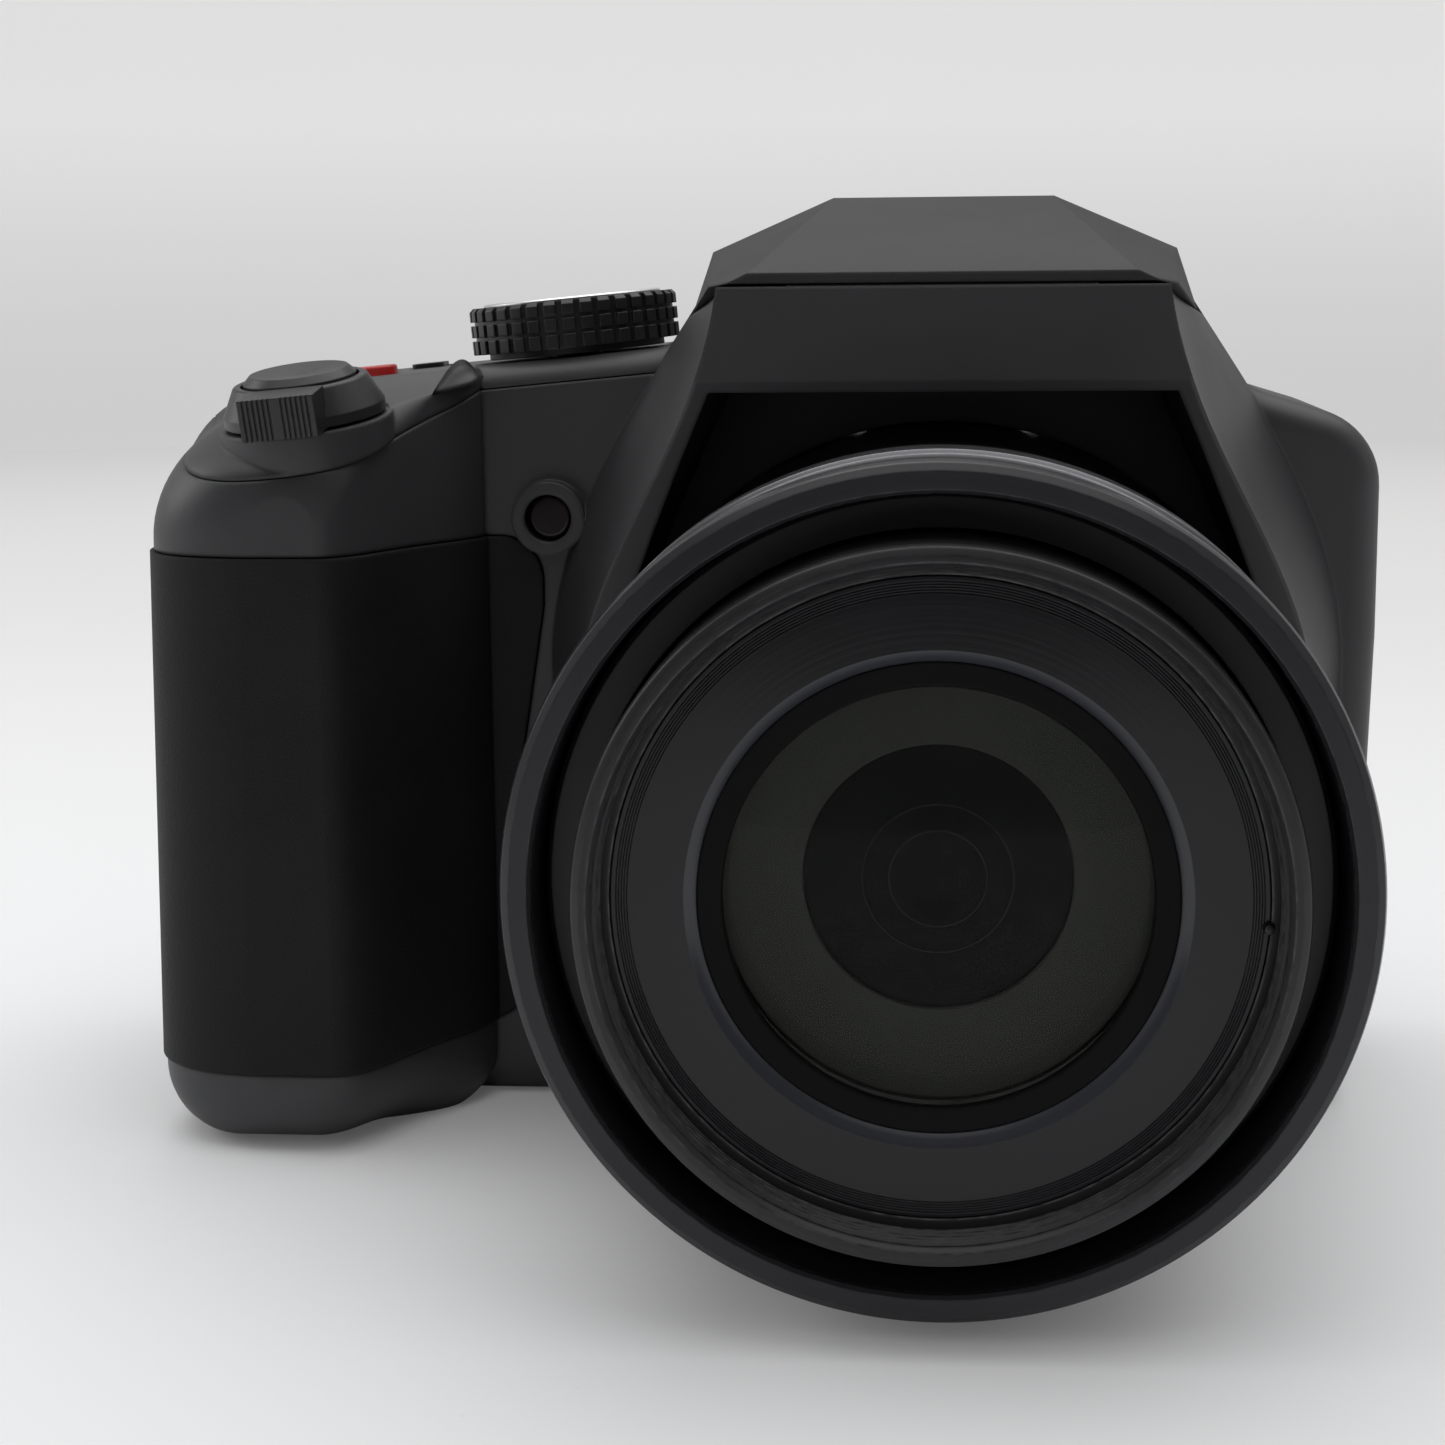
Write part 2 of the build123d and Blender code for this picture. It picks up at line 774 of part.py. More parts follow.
with BuildPart() as front_cover:
    add(outer)
    add(cover_zone(-reach, split_y), mode=Mode.INTERSECT)
    add(core, mode=Mode.SUBTRACT)
    add(collar.part)
    extrude(tent_outline(front_y, throat_half_shares, throat_heights, throat_bottom),
            amount=reach, mode=Mode.SUBTRACT)
    peg(0, lens_z, housing_radius + lens_gap, -reach, 0, Mode.SUBTRACT)
    add(flash_zone(0, 0, 0), mode=Mode.SUBTRACT)
    block((-pocket_half, pocket_half), (pocket_front, flash_y), (pocket_floor, reach), Mode.SUBTRACT)
    peg(lamp_x, lamp_z, lamp_boss, front_y - lamp_rise, front_y + wall)
    peg(lamp_x, lamp_z, lamp_radius + seam, -reach, 0, Mode.SUBTRACT)
    add(skin_cut.part, mode=Mode.SUBTRACT)
    base_cuts()
    port_cuts()
    lug_holes(fit, Mode.SUBTRACT)
front_cover.part.label = "front_cover"
export_step(front_cover.part, "parts/front_cover.step")

# Rear cover: the back half of the casing, round the screen
with BuildPart() as rear_cover:
    add(outer)
    add(cover_zone(split_y, reach), mode=Mode.INTERSECT)
    add(core, mode=Mode.SUBTRACT)
    window_plane = Plane.XZ.offset(-back_y - over)
    extrude(rounded(window_plane, (window_left, window_right), (window_low, window_high),
                    window_corner, seam), amount=window_deep + over, mode=Mode.SUBTRACT)
    extrude(rounded(window_plane, (window_left + window_ledge, window_right - window_ledge),
                    (window_low + window_ledge, window_high - window_ledge), window_corner),
            amount=4 * wall, mode=Mode.SUBTRACT)
    for plane, radius in rear_buttons.values():
        button_hole(plane, radius)
    peg(pad_x, pad_z, pad_radius + pad_gap, back_y - 2 * wall, back_y + over, Mode.SUBTRACT)
    block((rear_dial_x - rear_dial_radius, rear_dial_x + rear_dial_radius),
          (back_y - wall - rear_dial_radius - 2 * stub_radius, back_y - wall),
          (rear_dial_z - running - shelf_thick, rear_dial_z - running))
    disc(Plane.XY.offset(rear_dial_z), rear_dial_radius + running, -running,
         rear_dial_thick + running, Mode.SUBTRACT, rear_dial_x, rear_dial_y)
    disc(Plane.XY.offset(rear_dial_z), stub_radius + fit, -2 * shelf_thick, 0, Mode.SUBTRACT,
         rear_dial_x, rear_dial_y)
    base_cuts()
    port_cuts()
    lug_holes(fit, Mode.SUBTRACT)
rear_cover.part.label = "rear_cover"
export_step(rear_cover.part, "parts/rear_cover.step")

# Top cover: the deck, the hump behind the flash and the viewfinder's hood
with BuildPart() as hump_room:
    add(core)
    block((-cheek_x, cheek_x), (-reach, reach), (0, reach), Mode.INTERSECT)

with BuildPart() as cheeks:
    add(flash_form(0))
    split(bisect_by=Plane.XZ.offset(-top_joint_y), keep=Keep.BOTTOM)
    add(flash_zone(0, 0, 0), mode=Mode.SUBTRACT)
    add(hump_room.part, mode=Mode.SUBTRACT)

with BuildPart() as seat:
    disc(shutter_plane, seat_radius, -seat_deep, 0)
    add(top_zone(0), mode=Mode.INTERSECT)

with BuildPart() as top_cover:
    add(outer)
    add(top_zone(0), mode=Mode.INTERSECT)
    add(core, mode=Mode.SUBTRACT)
    add(flash_zone(0, 0, 0), mode=Mode.SUBTRACT)
    add(cheeks.part)
    extrude(rounded(Plane.XZ.offset(-hood_back), (-hood_half, hood_half), (top_joint_z, hood_high),
                    hood_corner), amount=hood_back - back_y + wall)
    block((-hood_half + hood_wall, hood_half - hood_wall),
          (back_y - 2 * wall, hood_back - hood_wall),
          (top_joint_z + hood_wall, hood_high - hood_wall), Mode.SUBTRACT)
    extrude(rounded(Plane.XZ.offset(-hood_back - over), (-eye_half, eye_half), (eye_low, eye_high),
                    eye_corner, seam), amount=hood_back - back_y, mode=Mode.SUBTRACT)
    add(seat.part)
    disc(shutter_plane, lever_radius + running, 0, 3 * wall, Mode.SUBTRACT)
    disc(shutter_plane, stem_radius + fit, -2 * seat_deep, over, Mode.SUBTRACT)
    disc(dial_plane, dial_shaft + fit, -2 * wall, over, Mode.SUBTRACT)
    for plane, radius in top_buttons.values():
        button_hole(plane, radius)
    extrude(rounded(switch_plane.offset(-2 * wall), (-switch_wide / 2, switch_wide / 2),
                    (-switch_long / 2, switch_long / 2 + switch_travel), switch_corner, running),
            amount=3 * wall, mode=Mode.SUBTRACT)
    disc(hinge_plane, hinge_pin_radius + fit, -hinge_pin_half - fit, hinge_pin_half + fit,
         Mode.SUBTRACT)
    disc(wheel_plane, diopter_shaft + fit, -2 * hood_wall, over, Mode.SUBTRACT)
top_cover.part.label = "top_cover"
export_step(top_cover.part, "parts/top_cover.step")

# Grip skin: a rubber skin in a shallow bed on the grip
with BuildPart() as grip_skin:
    add(body_form(-skin_proud))
    add(skin_region(0), mode=Mode.INTERSECT)
    add(skin_bed, mode=Mode.SUBTRACT)
grip_skin.part.label = "grip_skin"
export_step(grip_skin.part, "parts/grip_skin.step")

# Thumb pad on the back of the grip
with BuildPart() as thumb_pad:
    extrude(rounded(Plane.XZ.offset(-back_y - thumb_thick), (thumb_left, thumb_right),
                    (thumb_low, thumb_high), thumb_corner), amount=thumb_thick)
    fillet(thumb_pad.faces().sort_by(Axis.Y)[-1].edges(), radius=thumb_thick / 2)
thumb_pad.part.label = "thumb_pad"
export_step(thumb_pad.part, "parts/thumb_pad.step")

# Base plate, with the tripod socket and its screws
with BuildPart() as base_plate:
    extrude(base_outline(0, 0), amount=wall)
    disc(Plane.XY, socket_flange + seam, -over, socket_flange_thick, Mode.SUBTRACT)
    disc(Plane.XY, socket_radius + seam, -over, 2 * wall, Mode.SUBTRACT)
    for x, y in screw_places:
        disc(Plane.XY, screw_head + seam, -over, wall / 2, Mode.SUBTRACT, x, y)
        disc(Plane.XY, screw_shank + seam, -over, 2 * wall, Mode.SUBTRACT, x, y)
base_plate.part.label = "base_plate"
export_step(base_plate.part, "parts/base_plate.step")

with BuildPart() as tripod_socket:
    turned(Plane.XY, (socket_bore, 0), (socket_flange, 0), (socket_flange, socket_flange_thick),
           (socket_radius, socket_flange_thick), (socket_radius, socket_high - bevel),
           (socket_radius - bevel, socket_high), (socket_bore, socket_high))
tripod_socket.part.label = "tripod_socket"
export_step(tripod_socket.part, "parts/tripod_socket.step")

with BuildPart() as base_screws:
    for x, y in screw_places:
        disc(Plane.XY, screw_head, 0, wall / 2, Mode.ADD, x, y)
        disc(Plane.XY, screw_shank, 0, screw_long, Mode.ADD, x, y)
        for turn in (0, 90):
            with BuildSketch() as slot:
                with Locations((x, y)):
                    Rectangle(screw_head, screw_shank / 2, rotation=turn)
            extrude(amount=wall / 3, mode=Mode.SUBTRACT)
base_screws.part.label = "base_screws"
export_step(base_screws.part, "parts/base_screws.step")

# Box for the battery and the card, with both in place
battery_top = battery_low + battery_high
card_left = battery_left + battery_width + box_wall
box_right = card_left + card_width + running + box_wall
with BuildPart() as battery_box:
    block((door_left, box_right), (door_front, door_back),
          (battery_low, battery_top + running + box_wall))
    block((battery_left - running, battery_left + battery_width + running),
          (battery_front - running, battery_front + battery_deep + running),
          (0, battery_top + running), Mode.SUBTRACT)
    block((card_left - seam, card_left + card_width + seam),
          (card_front - running, card_front + card_deep + running),
          (0, battery_low + card_high + running), Mode.SUBTRACT)
battery_box.part.label = "battery_box"
export_step(battery_box.part, "parts/battery_box.step")

with BuildPart() as battery:
    block((battery_left, battery_left + battery_width),
          (battery_front, battery_front + battery_deep), (battery_low, battery_top))
    fillet(battery.edges().filter_by(Axis.Z), radius=box_wall)
battery.part.label = "battery"
export_step(battery.part, "parts/battery.step")

with BuildPart() as memory_card:
    block((card_left, card_left + card_width), (card_front, card_front + card_deep),
          (battery_low, battery_low + card_high))
    chamfer(memory_card.edges().filter_by(Axis.X).group_by(Axis.Z)[-1].sort_by(Axis.Y)[0],
            length=2 * card_width)
memory_card.part.label = "memory_card"
export_step(memory_card.part, "parts/memory_card.step")

# Battery door with its latch
latch_x = battery_left + battery_width / 2
with BuildPart() as battery_door:
    block((door_left, hinge_x), (door_front, door_back), (0, door_thick))
    peg(hinge_x, hinge_z, hinge_radius, door_front, door_back)
    peg(hinge_x, hinge_z, pin_radius + fit, -reach, reach, Mode.SUBTRACT)
    block((latch_x - latch_wide / 2 - running, latch_x + latch_wide / 2 + running),
          (latch_y - running, latch_y + latch_long + latch_travel + running),
          (-over, latch_deep), Mode.SUBTRACT)
battery_door.part.label = "battery_door"
export_step(battery_door.part, "parts/battery_door.step")

with BuildPart() as battery_latch:
    block((latch_x - latch_wide / 2, latch_x + latch_wide / 2), (latch_y, latch_y + latch_long),
          (seam, latch_deep - seam))
    for step in range(1, tab_ribs):
        y = latch_y + step * latch_long / tab_ribs
        block((latch_x - latch_wide / 3, latch_x + latch_wide / 3),
              (y - rib_deep / 2, y + rib_deep / 2), (0, seam + rib_deep / 2), Mode.SUBTRACT)
battery_latch.part.label = "battery_latch"
export_step(battery_latch.part, "parts/battery_latch.step")

# Terminal door, the sockets behind it and the pins of both doors
with BuildPart() as terminal_door:
    extrude(rounded(port_plane.offset(-door_thick), (port_front, port_back),
                    (-port_high / 2, port_high / 2), running), amount=door_thick)
    port_pin(hinge_radius, 0)
    port_pin(pin_radius + fit, over, Mode.SUBTRACT)
terminal_door.part.label = "terminal_door"
export_step(terminal_door.part, "parts/terminal_door.step")

with BuildPart() as door_pins:
    peg(hinge_x, hinge_z, pin_radius, door_front - pin_bite, door_back + pin_bite)
    port_pin(pin_radius, pin_bite)
door_pins.part.label = "door_pins"
export_step(door_pins.part, "parts/door_pins.step")

with BuildPart() as terminal_sockets:
    board_x = flange_x + sheet + running
    block((board_x, board_x + sheet), (port_front + wall, port_back - 2 * wall),
          (port_z - port_high / 2 + wall, port_z + port_high / 2 - wall))
    for z in (port_z - jack_rise, port_z + jack_rise):
        block((board_x, board_x + jack_deep), (-jack_half, jack_half),
              (z - jack_half, z + jack_half))
        block((board_x + sheet, board_x + jack_deep + over),
              (-jack_half + sheet, jack_half - sheet), (z - jack_half / 2, z + jack_half / 2),
              Mode.SUBTRACT)
terminal_sockets.part.label = "terminal_sockets"
export_step(terminal_sockets.part, "parts/terminal_sockets.step")

# Strap lugs: a wire loop on a shank at each side
with BuildPart() as strap_lugs:
    lug_holes(0, Mode.ADD)
    for place, sign in ((lug_right, 1), (lug_left, -1)):
        add(lug_loop(*place, sign))
strap_lugs.part.label = "strap_lugs"
export_step(strap_lugs.part, "parts/strap_lugs.step")

# Frame, boards and drives
with BuildPart() as chassis:
    block((box_right + running, flange_x + sheet), (chassis_y, chassis_y + sheet),
          (wall + running, chassis_top))
    block((flange_x, flange_x + sheet), (port_front, chassis_y + sheet),
          (port_z - port_high / 2, port_z + port_high / 2))
    block((box_right, hinge_x + hinge_radius + 4 * running), (0, back_y), (0, 2 * wall),
          Mode.SUBTRACT)
    for x in (board_left + 2 * chassis_slot, flange_x - chassis_slot):
        peg(x, chassis_top - chassis_slot, chassis_slot / 2, -reach, reach, Mode.SUBTRACT)
chassis.part.label = "chassis"
export_step(chassis.part, "parts/chassis.step")

board_y = chassis_y + sheet + running
with BuildPart() as main_board:
    block((board_left, flange_x), (board_y, board_y + sheet), (2 * wall, chassis_top - wall))
    for x_share, z_share, wide_share, high_share in chip_shares:
        x, z = board_left * x_share, chassis_top * z_share
        block((x, x + chip * wide_share), (board_y, board_y + sheet + chip_high),
              (z, z + chip * high_share))
main_board.part.label = "main_board"
export_step(main_board.part, "parts/main_board.step")

with BuildPart() as image_sensor:
    sensor_y = chassis_y - running - sheet
    block((-sensor_half, sensor_half), (sensor_y, sensor_y + sheet),
          (lens_z - sensor_half, lens_z + sensor_half))
    block((-sensor_half / 2, sensor_half / 2), (sensor_y - sheet, sensor_y),
          (lens_z - sensor_half / 2, lens_z + sensor_half / 2))
image_sensor.part.label = "image_sensor"
export_step(image_sensor.part, "parts/image_sensor.step")

with BuildPart() as lcd_panel:
    extrude(rounded(Plane.XZ.offset(running - back_y + window_deep),
                    (window_left + window_ledge, window_right - window_ledge),
                    (window_low + window_ledge, window_high - window_ledge), window_corner, -seam),
            amount=panel_thick)
lcd_panel.part.label = "lcd_panel"
export_step(lcd_panel.part, "parts/lcd_panel.step")

with BuildPart() as lcd_window:
    extrude(rounded(Plane.XZ.offset(-back_y), (window_left, window_right),
                    (window_low, window_high), window_corner), amount=window_deep)
    chamfer(lcd_window.faces().sort_by(Axis.Y)[-1].edges(), length=seam)
lcd_window.part.label = "lcd_window"
export_step(lcd_window.part, "parts/lcd_window.step")

with BuildPart() as flash_capacitor:
    disc(Plane.XY, capacitor_radius, wall + running, wall + running + capacitor_high, Mode.ADD,
         capacitor_x, capacitor_y)
    chamfer(flash_capacitor.faces().sort_by(Axis.Z)[-1].edges(), length=bevel)
flash_capacitor.part.label = "flash_capacitor"
export_step(flash_capacitor.part, "parts/flash_capacitor.step")

with BuildPart() as zoom_motor:
    peg(motor_x, motor_z, motor_radius, motor_front, chassis_y - running)
    peg(motor_x, motor_z, stub_radius, motor_front - 2 * stub_radius, motor_front)
zoom_motor.part.label = "zoom_motor"
export_step(zoom_motor.part, "parts/zoom_motor.step")

# Autofocus lamp in its raised ring
with BuildPart() as af_lamp:
    peg(lamp_x, lamp_z, lamp_radius, front_y - lamp_rise / 4, front_y + wall + over)
    fillet(af_lamp.faces().sort_by(Axis.Y)[0].edges(), radius=lamp_rise / 5)
af_lamp.part.label = "af_lamp"
export_step(af_lamp.part, "parts/af_lamp.step")

# Viewfinder: display, eyepiece, eyecup and diopter dial
with BuildPart() as evf_display:
    block((-eye_half + display_margin, eye_half - display_margin),
          (display_front, back_y + display_margin), (top_joint_z + hood_wall + running, eye_high))
evf_display.part.label = "evf_display"
export_step(evf_display.part, "parts/evf_display.step")

with BuildPart() as eyepiece_lens:
    extrude(rounded(Plane.XZ.offset(-hood_back - seam), (-eye_half, eye_half), (eye_low, eye_high),
                    eye_corner), amount=hood_wall)
    fillet(eyepiece_lens.faces().sort_by(Axis.Y)[-1].edges(), radius=hood_wall / 4)
eyepiece_lens.part.label = "eyepiece_lens"
export_step(eyepiece_lens.part, "parts/eyepiece_lens.step")

with BuildPart() as eyecup:
    extrude(rounded(Plane.XZ.offset(-cup_back), (-cup_half, cup_half), (cup_low, cup_high),
                    cup_corner), amount=cup_back - hood_back - seam)
    fillet(eyecup.faces().sort_by(Axis.Y)[-1].edges(), radius=hood_wall / 2)
    extrude(rounded(Plane.XZ.offset(-cup_back - over), (-eye_half, eye_half), (eye_low, eye_high),
                    eye_corner, wall / 2), amount=reach, mode=Mode.SUBTRACT)
    chamfer(eyecup.faces().sort_by(Axis.Y)[-1].inner_wires().edges(), length=wall)
eyecup.part.label = "eyecup"
export_step(eyecup.part, "parts/eyecup.step")

with BuildPart() as diopter_dial:
    disc(wheel_plane, diopter_radius, running, running + diopter_thick)
    rim_notches(wheel_plane, diopter_radius, running, running + diopter_thick, wheel_notches,
                rib_pitch, rib_deep)
    disc(wheel_plane, diopter_shaft, -hood_wall, running)
diopter_dial.part.label = "diopter_dial"
export_step(diopter_dial.part, "parts/diopter_dial.step")

# Lens housing and its trim ring
housing_wall = housing_radius - housing_bore
with BuildPart() as lens_housing:
    turned(lens_plane, (housing_bore, housing_front + trim_lip),
           (housing_radius, housing_front + trim_lip), (housing_radius, housing_step + housing_wall),
           (housing_waist, housing_step + housing_wall), (housing_waist, housing_back),
           (0, housing_back), (0, housing_back - housing_wall),
           (housing_waist - housing_wall, housing_back - housing_wall),
           (housing_waist - housing_wall, housing_step), (housing_bore, housing_step))
    block((-sensor_window / 2, sensor_window / 2), (0, housing_back + over),
          (lens_z - sensor_window / 2, lens_z + sensor_window / 2), Mode.SUBTRACT)
lens_housing.part.label = "lens_housing"
export_step(lens_housing.part, "parts/lens_housing.step")

with BuildPart() as barrel_trim_ring:
    turned(lens_plane, (housing_bore, housing_front), (trim_radius - bevel, housing_front),
           (trim_radius, housing_front + bevel), (trim_radius, trim_back - bevel),
           (trim_radius - bevel, trim_back), (housing_radius + fit, trim_back),
           (housing_radius + fit, housing_front + trim_lip), (housing_bore, housing_front + trim_lip))
barrel_trim_ring.part.label = "barrel_trim_ring"
export_step(barrel_trim_ring.part, "parts/barrel_trim_ring.step")

with BuildPart() as focus_lens:
    glass(housing_waist - housing_wall - running, focus_front - focus_bulge, focus_front,
          focus_front + focus_thick)
focus_lens.part.label = "focus_lens"
export_step(focus_lens.part, "parts/focus_lens.step")

# Zoom barrels
outer_bore = outer_barrel_radius - outer_barrel_wall
outer_mouth = inner_barrel_radius + running
with BuildPart() as zoom_barrel_outer:
    turned(lens_plane, (outer_mouth, outer_barrel_front),
           (outer_barrel_radius - bevel, outer_barrel_front),
           (outer_barrel_radius, outer_barrel_front + bevel), (outer_barrel_radius, outer_barrel_back),
           (outer_bore, outer_barrel_back), (outer_bore, outer_barrel_front + barrel_lip),
           (outer_mouth, outer_barrel_front + barrel_lip))
zoom_barrel_outer.part.label = "zoom_barrel_outer"
export_step(zoom_barrel_outer.part, "parts/zoom_barrel_outer.step")

inner_bore = inner_barrel_radius - inner_barrel_wall
thread_back = inner_barrel_front + thread_deep
plate_front = thread_back + relief_long
carrier_front = plate_front + plate_thick
holder_bore = glass_radius + fit
holder_radius = holder_bore + holder_wall
lip_front = carrier_front - glass_lip_rise
lip_back = lip_front + glass_lip_thick
lip_radius = glass_radius - glass_lip
with BuildPart() as zoom_barrel_inner:
    turned(lens_plane, (thread_radius, inner_barrel_front),
           (inner_barrel_radius - bevel, inner_barrel_front),
           (inner_barrel_radius, inner_barrel_front + bevel),
           (inner_barrel_radius, inner_barrel_back - guide_long),
           (inner_barrel_radius + guide_rise, inner_barrel_back - guide_long),
           (inner_barrel_radius + guide_rise, inner_barrel_back), (inner_bore, inner_barrel_back),
           (inner_bore, carrier_front + carrier_thick),
           (holder_radius, carrier_front + carrier_thick), (holder_radius, holder_back),
           (holder_bore, holder_back), (holder_bore, lip_back), (lip_radius, lip_back),
           (lip_radius, lip_front), (holder_radius - seam, lip_front),
           (holder_radius - seam, carrier_front), (plate_seat, carrier_front),
           (plate_seat, plate_front), (relief_radius, plate_front), (relief_radius, thread_back),
           (thread_radius, thread_back))
zoom_barrel_inner.part.label = "zoom_barrel_inner"
export_step(zoom_barrel_inner.part, "parts/zoom_barrel_inner.step")

with BuildPart() as name_ring:
    turned(lens_plane, (holder_radius - seam + fit, carrier_front),
           (holder_radius - seam + fit, plate_front), (plate_seat - fit, plate_front),
           (plate_seat - fit, carrier_front))
name_ring.part.label = "name_ring"
export_step(name_ring.part, "parts/name_ring.step")

with BuildPart() as front_lens:
    glass(glass_radius, lip_back + seam - glass_bulge - seam, lip_back + seam, glass_back)
front_lens.part.label = "front_lens"
export_step(front_lens.part, "parts/front_lens.step")

with BuildPart() as lens_baffle:
    turned(lens_plane, (holder_bore - fit, baffle_front), (pupil_radius, baffle_front + baffle_deep),
           (pupil_radius, pupil_back), (pupil_radius + baffle_wall, pupil_back),
           (pupil_radius + baffle_wall, baffle_front + baffle_deep + baffle_wall),
           (holder_bore - fit, baffle_front + baffle_wall))
lens_baffle.part.label = "lens_baffle"
export_step(lens_baffle.part, "parts/lens_baffle.step")

with BuildPart() as inner_lens:
    glass(pupil_radius - fit, pupil_back - pupil_glass_thick - pupil_bulge,
          pupil_back - pupil_glass_thick, pupil_back)
inner_lens.part.label = "inner_lens"
export_step(inner_lens.part, "parts/inner_lens.step")

# Mode dial: a studded wheel with a plain cap
with BuildPart() as mode_dial:
    disc(dial_plane, dial_shaft, -wall - flange_thick, running)
    disc(dial_plane, dial_neck, running, dial_low)
    turned(dial_plane, (0, dial_low), (dial_radius, dial_low), (dial_radius, dial_high - bevel),
           (dial_radius - bevel, dial_high), (cap_radius + fit, dial_high),
           (cap_radius + fit, dial_high - cap_rise), (0, dial_high - cap_rise))
    rim_notches(dial_plane, dial_radius, dial_low - over / 2, dial_high + over, dial_notches,
                notch_wide, notch_deep)
    row = (dial_high - dial_low) / dial_rows
    for step in range(1, dial_rows):
        level = dial_low + step * row
        turned(dial_plane, (dial_radius - notch_deep, level - groove_wide / 2),
               (dial_radius + over, level - groove_wide / 2),
               (dial_radius + over, level + groove_wide / 2),
               (dial_radius - notch_deep, level + groove_wide / 2), mode=Mode.SUBTRACT)
mode_dial.part.label = "mode_dial"
export_step(mode_dial.part, "parts/mode_dial.step")

with BuildPart() as mode_dial_cap:
    turned(dial_plane, (0, dial_high - cap_rise), (cap_radius, dial_high - cap_rise),
           (cap_radius, dial_high + cap_rise / 2), (cap_radius - cap_rise, dial_high + cap_rise),
           (0, dial_high + cap_rise))
mode_dial_cap.part.label = "mode_dial_cap"
export_step(mode_dial_cap.part, "parts/mode_dial_cap.step")

# Shutter button, and the zoom lever round it
with BuildPart() as shutter_button:
    disc(shutter_plane, stem_radius, -stem_long, shutter_low)
    turned(shutter_plane, (0, shutter_low), (shutter_radius, shutter_low),
           (shutter_radius, shutter_high - shutter_edge),
           (shutter_radius - shutter_edge, shutter_high), (0, shutter_high - shutter_dish))
shutter_button.part.label = "shutter_button"
export_step(shutter_button.part, "parts/shutter_button.step")

with BuildPart() as zoom_lever:
    turned(shutter_plane, (0, running), (lever_radius, running), (lever_radius, lever_foot),
           (lever_top_radius, lever_high), (0, lever_high))
    fillet(zoom_lever.edges().group_by(Axis(shutter_plane.origin, shutter_plane.z_dir))[-1],
           radius=bevel)
    with BuildSketch(shutter_plane.offset(running)) as tab:
        with Locations((0, -(lever_radius + tab_out) / 2 + wall / 2)):
            Rectangle(tab_wide, tab_out - lever_radius + wall)
    extrude(tab.sketch, amount=tab_high - running)
    for side in (-1, 1):
        for step in range(tab_ribs):
            with BuildSketch(shutter_plane.offset(running)) as groove:
                with Locations((side * (step + 1.25) * rib_pitch, -tab_out)):
                    Rectangle(rib_deep, 2 * rib_deep)
            extrude(groove.sketch, amount=tab_high, mode=Mode.SUBTRACT)
    disc(shutter_plane, shutter_radius + running, -over, 3 * wall, Mode.SUBTRACT)
zoom_lever.part.label = "zoom_lever"
export_step(zoom_lever.part, "parts/zoom_lever.step")

# Power switch
with BuildPart() as power_switch:
    across, along = switch_wide / 2, switch_long / 2
    low = -wall - running
    extrude(rounded(switch_plane.offset(low - flange_thick), (-across, across), (-along, along),
                    switch_corner, flange_wide), amount=flange_thick)
    extrude(rounded(switch_plane.offset(low), (-across, across), (-along, along), switch_corner),
            amount=switch_rise - low)
power_switch.part.label = "power_switch"
export_step(power_switch.part, "parts/power_switch.step")

# Push buttons on the deck, the hump and the back
for name, (plane, radius) in {**top_buttons, **rear_buttons}.items():
    with BuildPart() as button:
        disc(plane, radius + flange_wide, -wall - running - flange_thick, -wall - running)
        disc(plane, radius, -wall - running, button_rise)
        fillet(button.edges().group_by(Axis(plane.origin, plane.z_dir))[-1], radius=button_edge)
    button.part.label = name
    export_step(button.part, f"parts/{name}.step")

# Rear dial, cursor pad and set button
with BuildPart() as rear_dial:
    dial_foot = Plane.XY.offset(rear_dial_z)
    disc(dial_foot, rear_dial_radius, 0, rear_dial_thick, Mode.ADD, rear_dial_x, rear_dial_y)
    chamfer(rear_dial.edges().filter_by(GeomType.CIRCLE), length=bevel)
    rim_notches(dial_foot, rear_dial_radius, bevel, rear_dial_thick - bevel, rear_notches, rib_pitch,
                rib_deep, rear_dial_x, rear_dial_y)
    disc(dial_foot, stub_radius, -running - shelf_thick, 0, Mode.ADD, rear_dial_x, rear_dial_y)
rear_dial.part.label = "rear_dial"
export_step(rear_dial.part, "parts/rear_dial.step")

with BuildPart() as cursor_pad:
    hole, sink = set_radius + pad_gap, -wall - pad_play
    turned(pad_plane, (hole, sink - flange_thick), (pad_radius + 2 * pad_gap, sink - flange_thick),
           (pad_radius + 2 * pad_gap, sink), (pad_radius, sink), (pad_radius, pad_rise - bevel),
           (pad_radius - bevel, pad_rise), (hole + bevel, pad_rise), (hole, pad_rise - bevel))
cursor_pad.part.label = "cursor_pad"
export_step(cursor_pad.part, "parts/cursor_pad.step")

with BuildPart() as set_button:
    turned(pad_plane, (0, -set_sink - flange_thick), (set_flange, -set_sink - flange_thick),
           (set_flange, -set_sink), (set_radius, -set_sink), (set_radius, set_rise - button_edge),
           (set_radius - button_edge, set_rise), (0, set_rise))
set_button.part.label = "set_button"
export_step(set_button.part, "parts/set_button.step")

# Flash head, its lamp and window, and its hinge pin
swing = flash_swing - running
form_floor = seam_z - cheek_radius
with BuildPart() as flash_ears:
    add(flash_form(0))
    with BuildSketch(hinge_plane.offset(-cheek_x + running)) as ear:
        Circle(swing)
    extrude(ear.sketch, amount=2 * (cheek_x - running), mode=Mode.INTERSECT)
    block((-cheek_x + running + flash_wall, cheek_x - running - flash_wall), (-reach, reach),
          (0, reach), Mode.SUBTRACT)

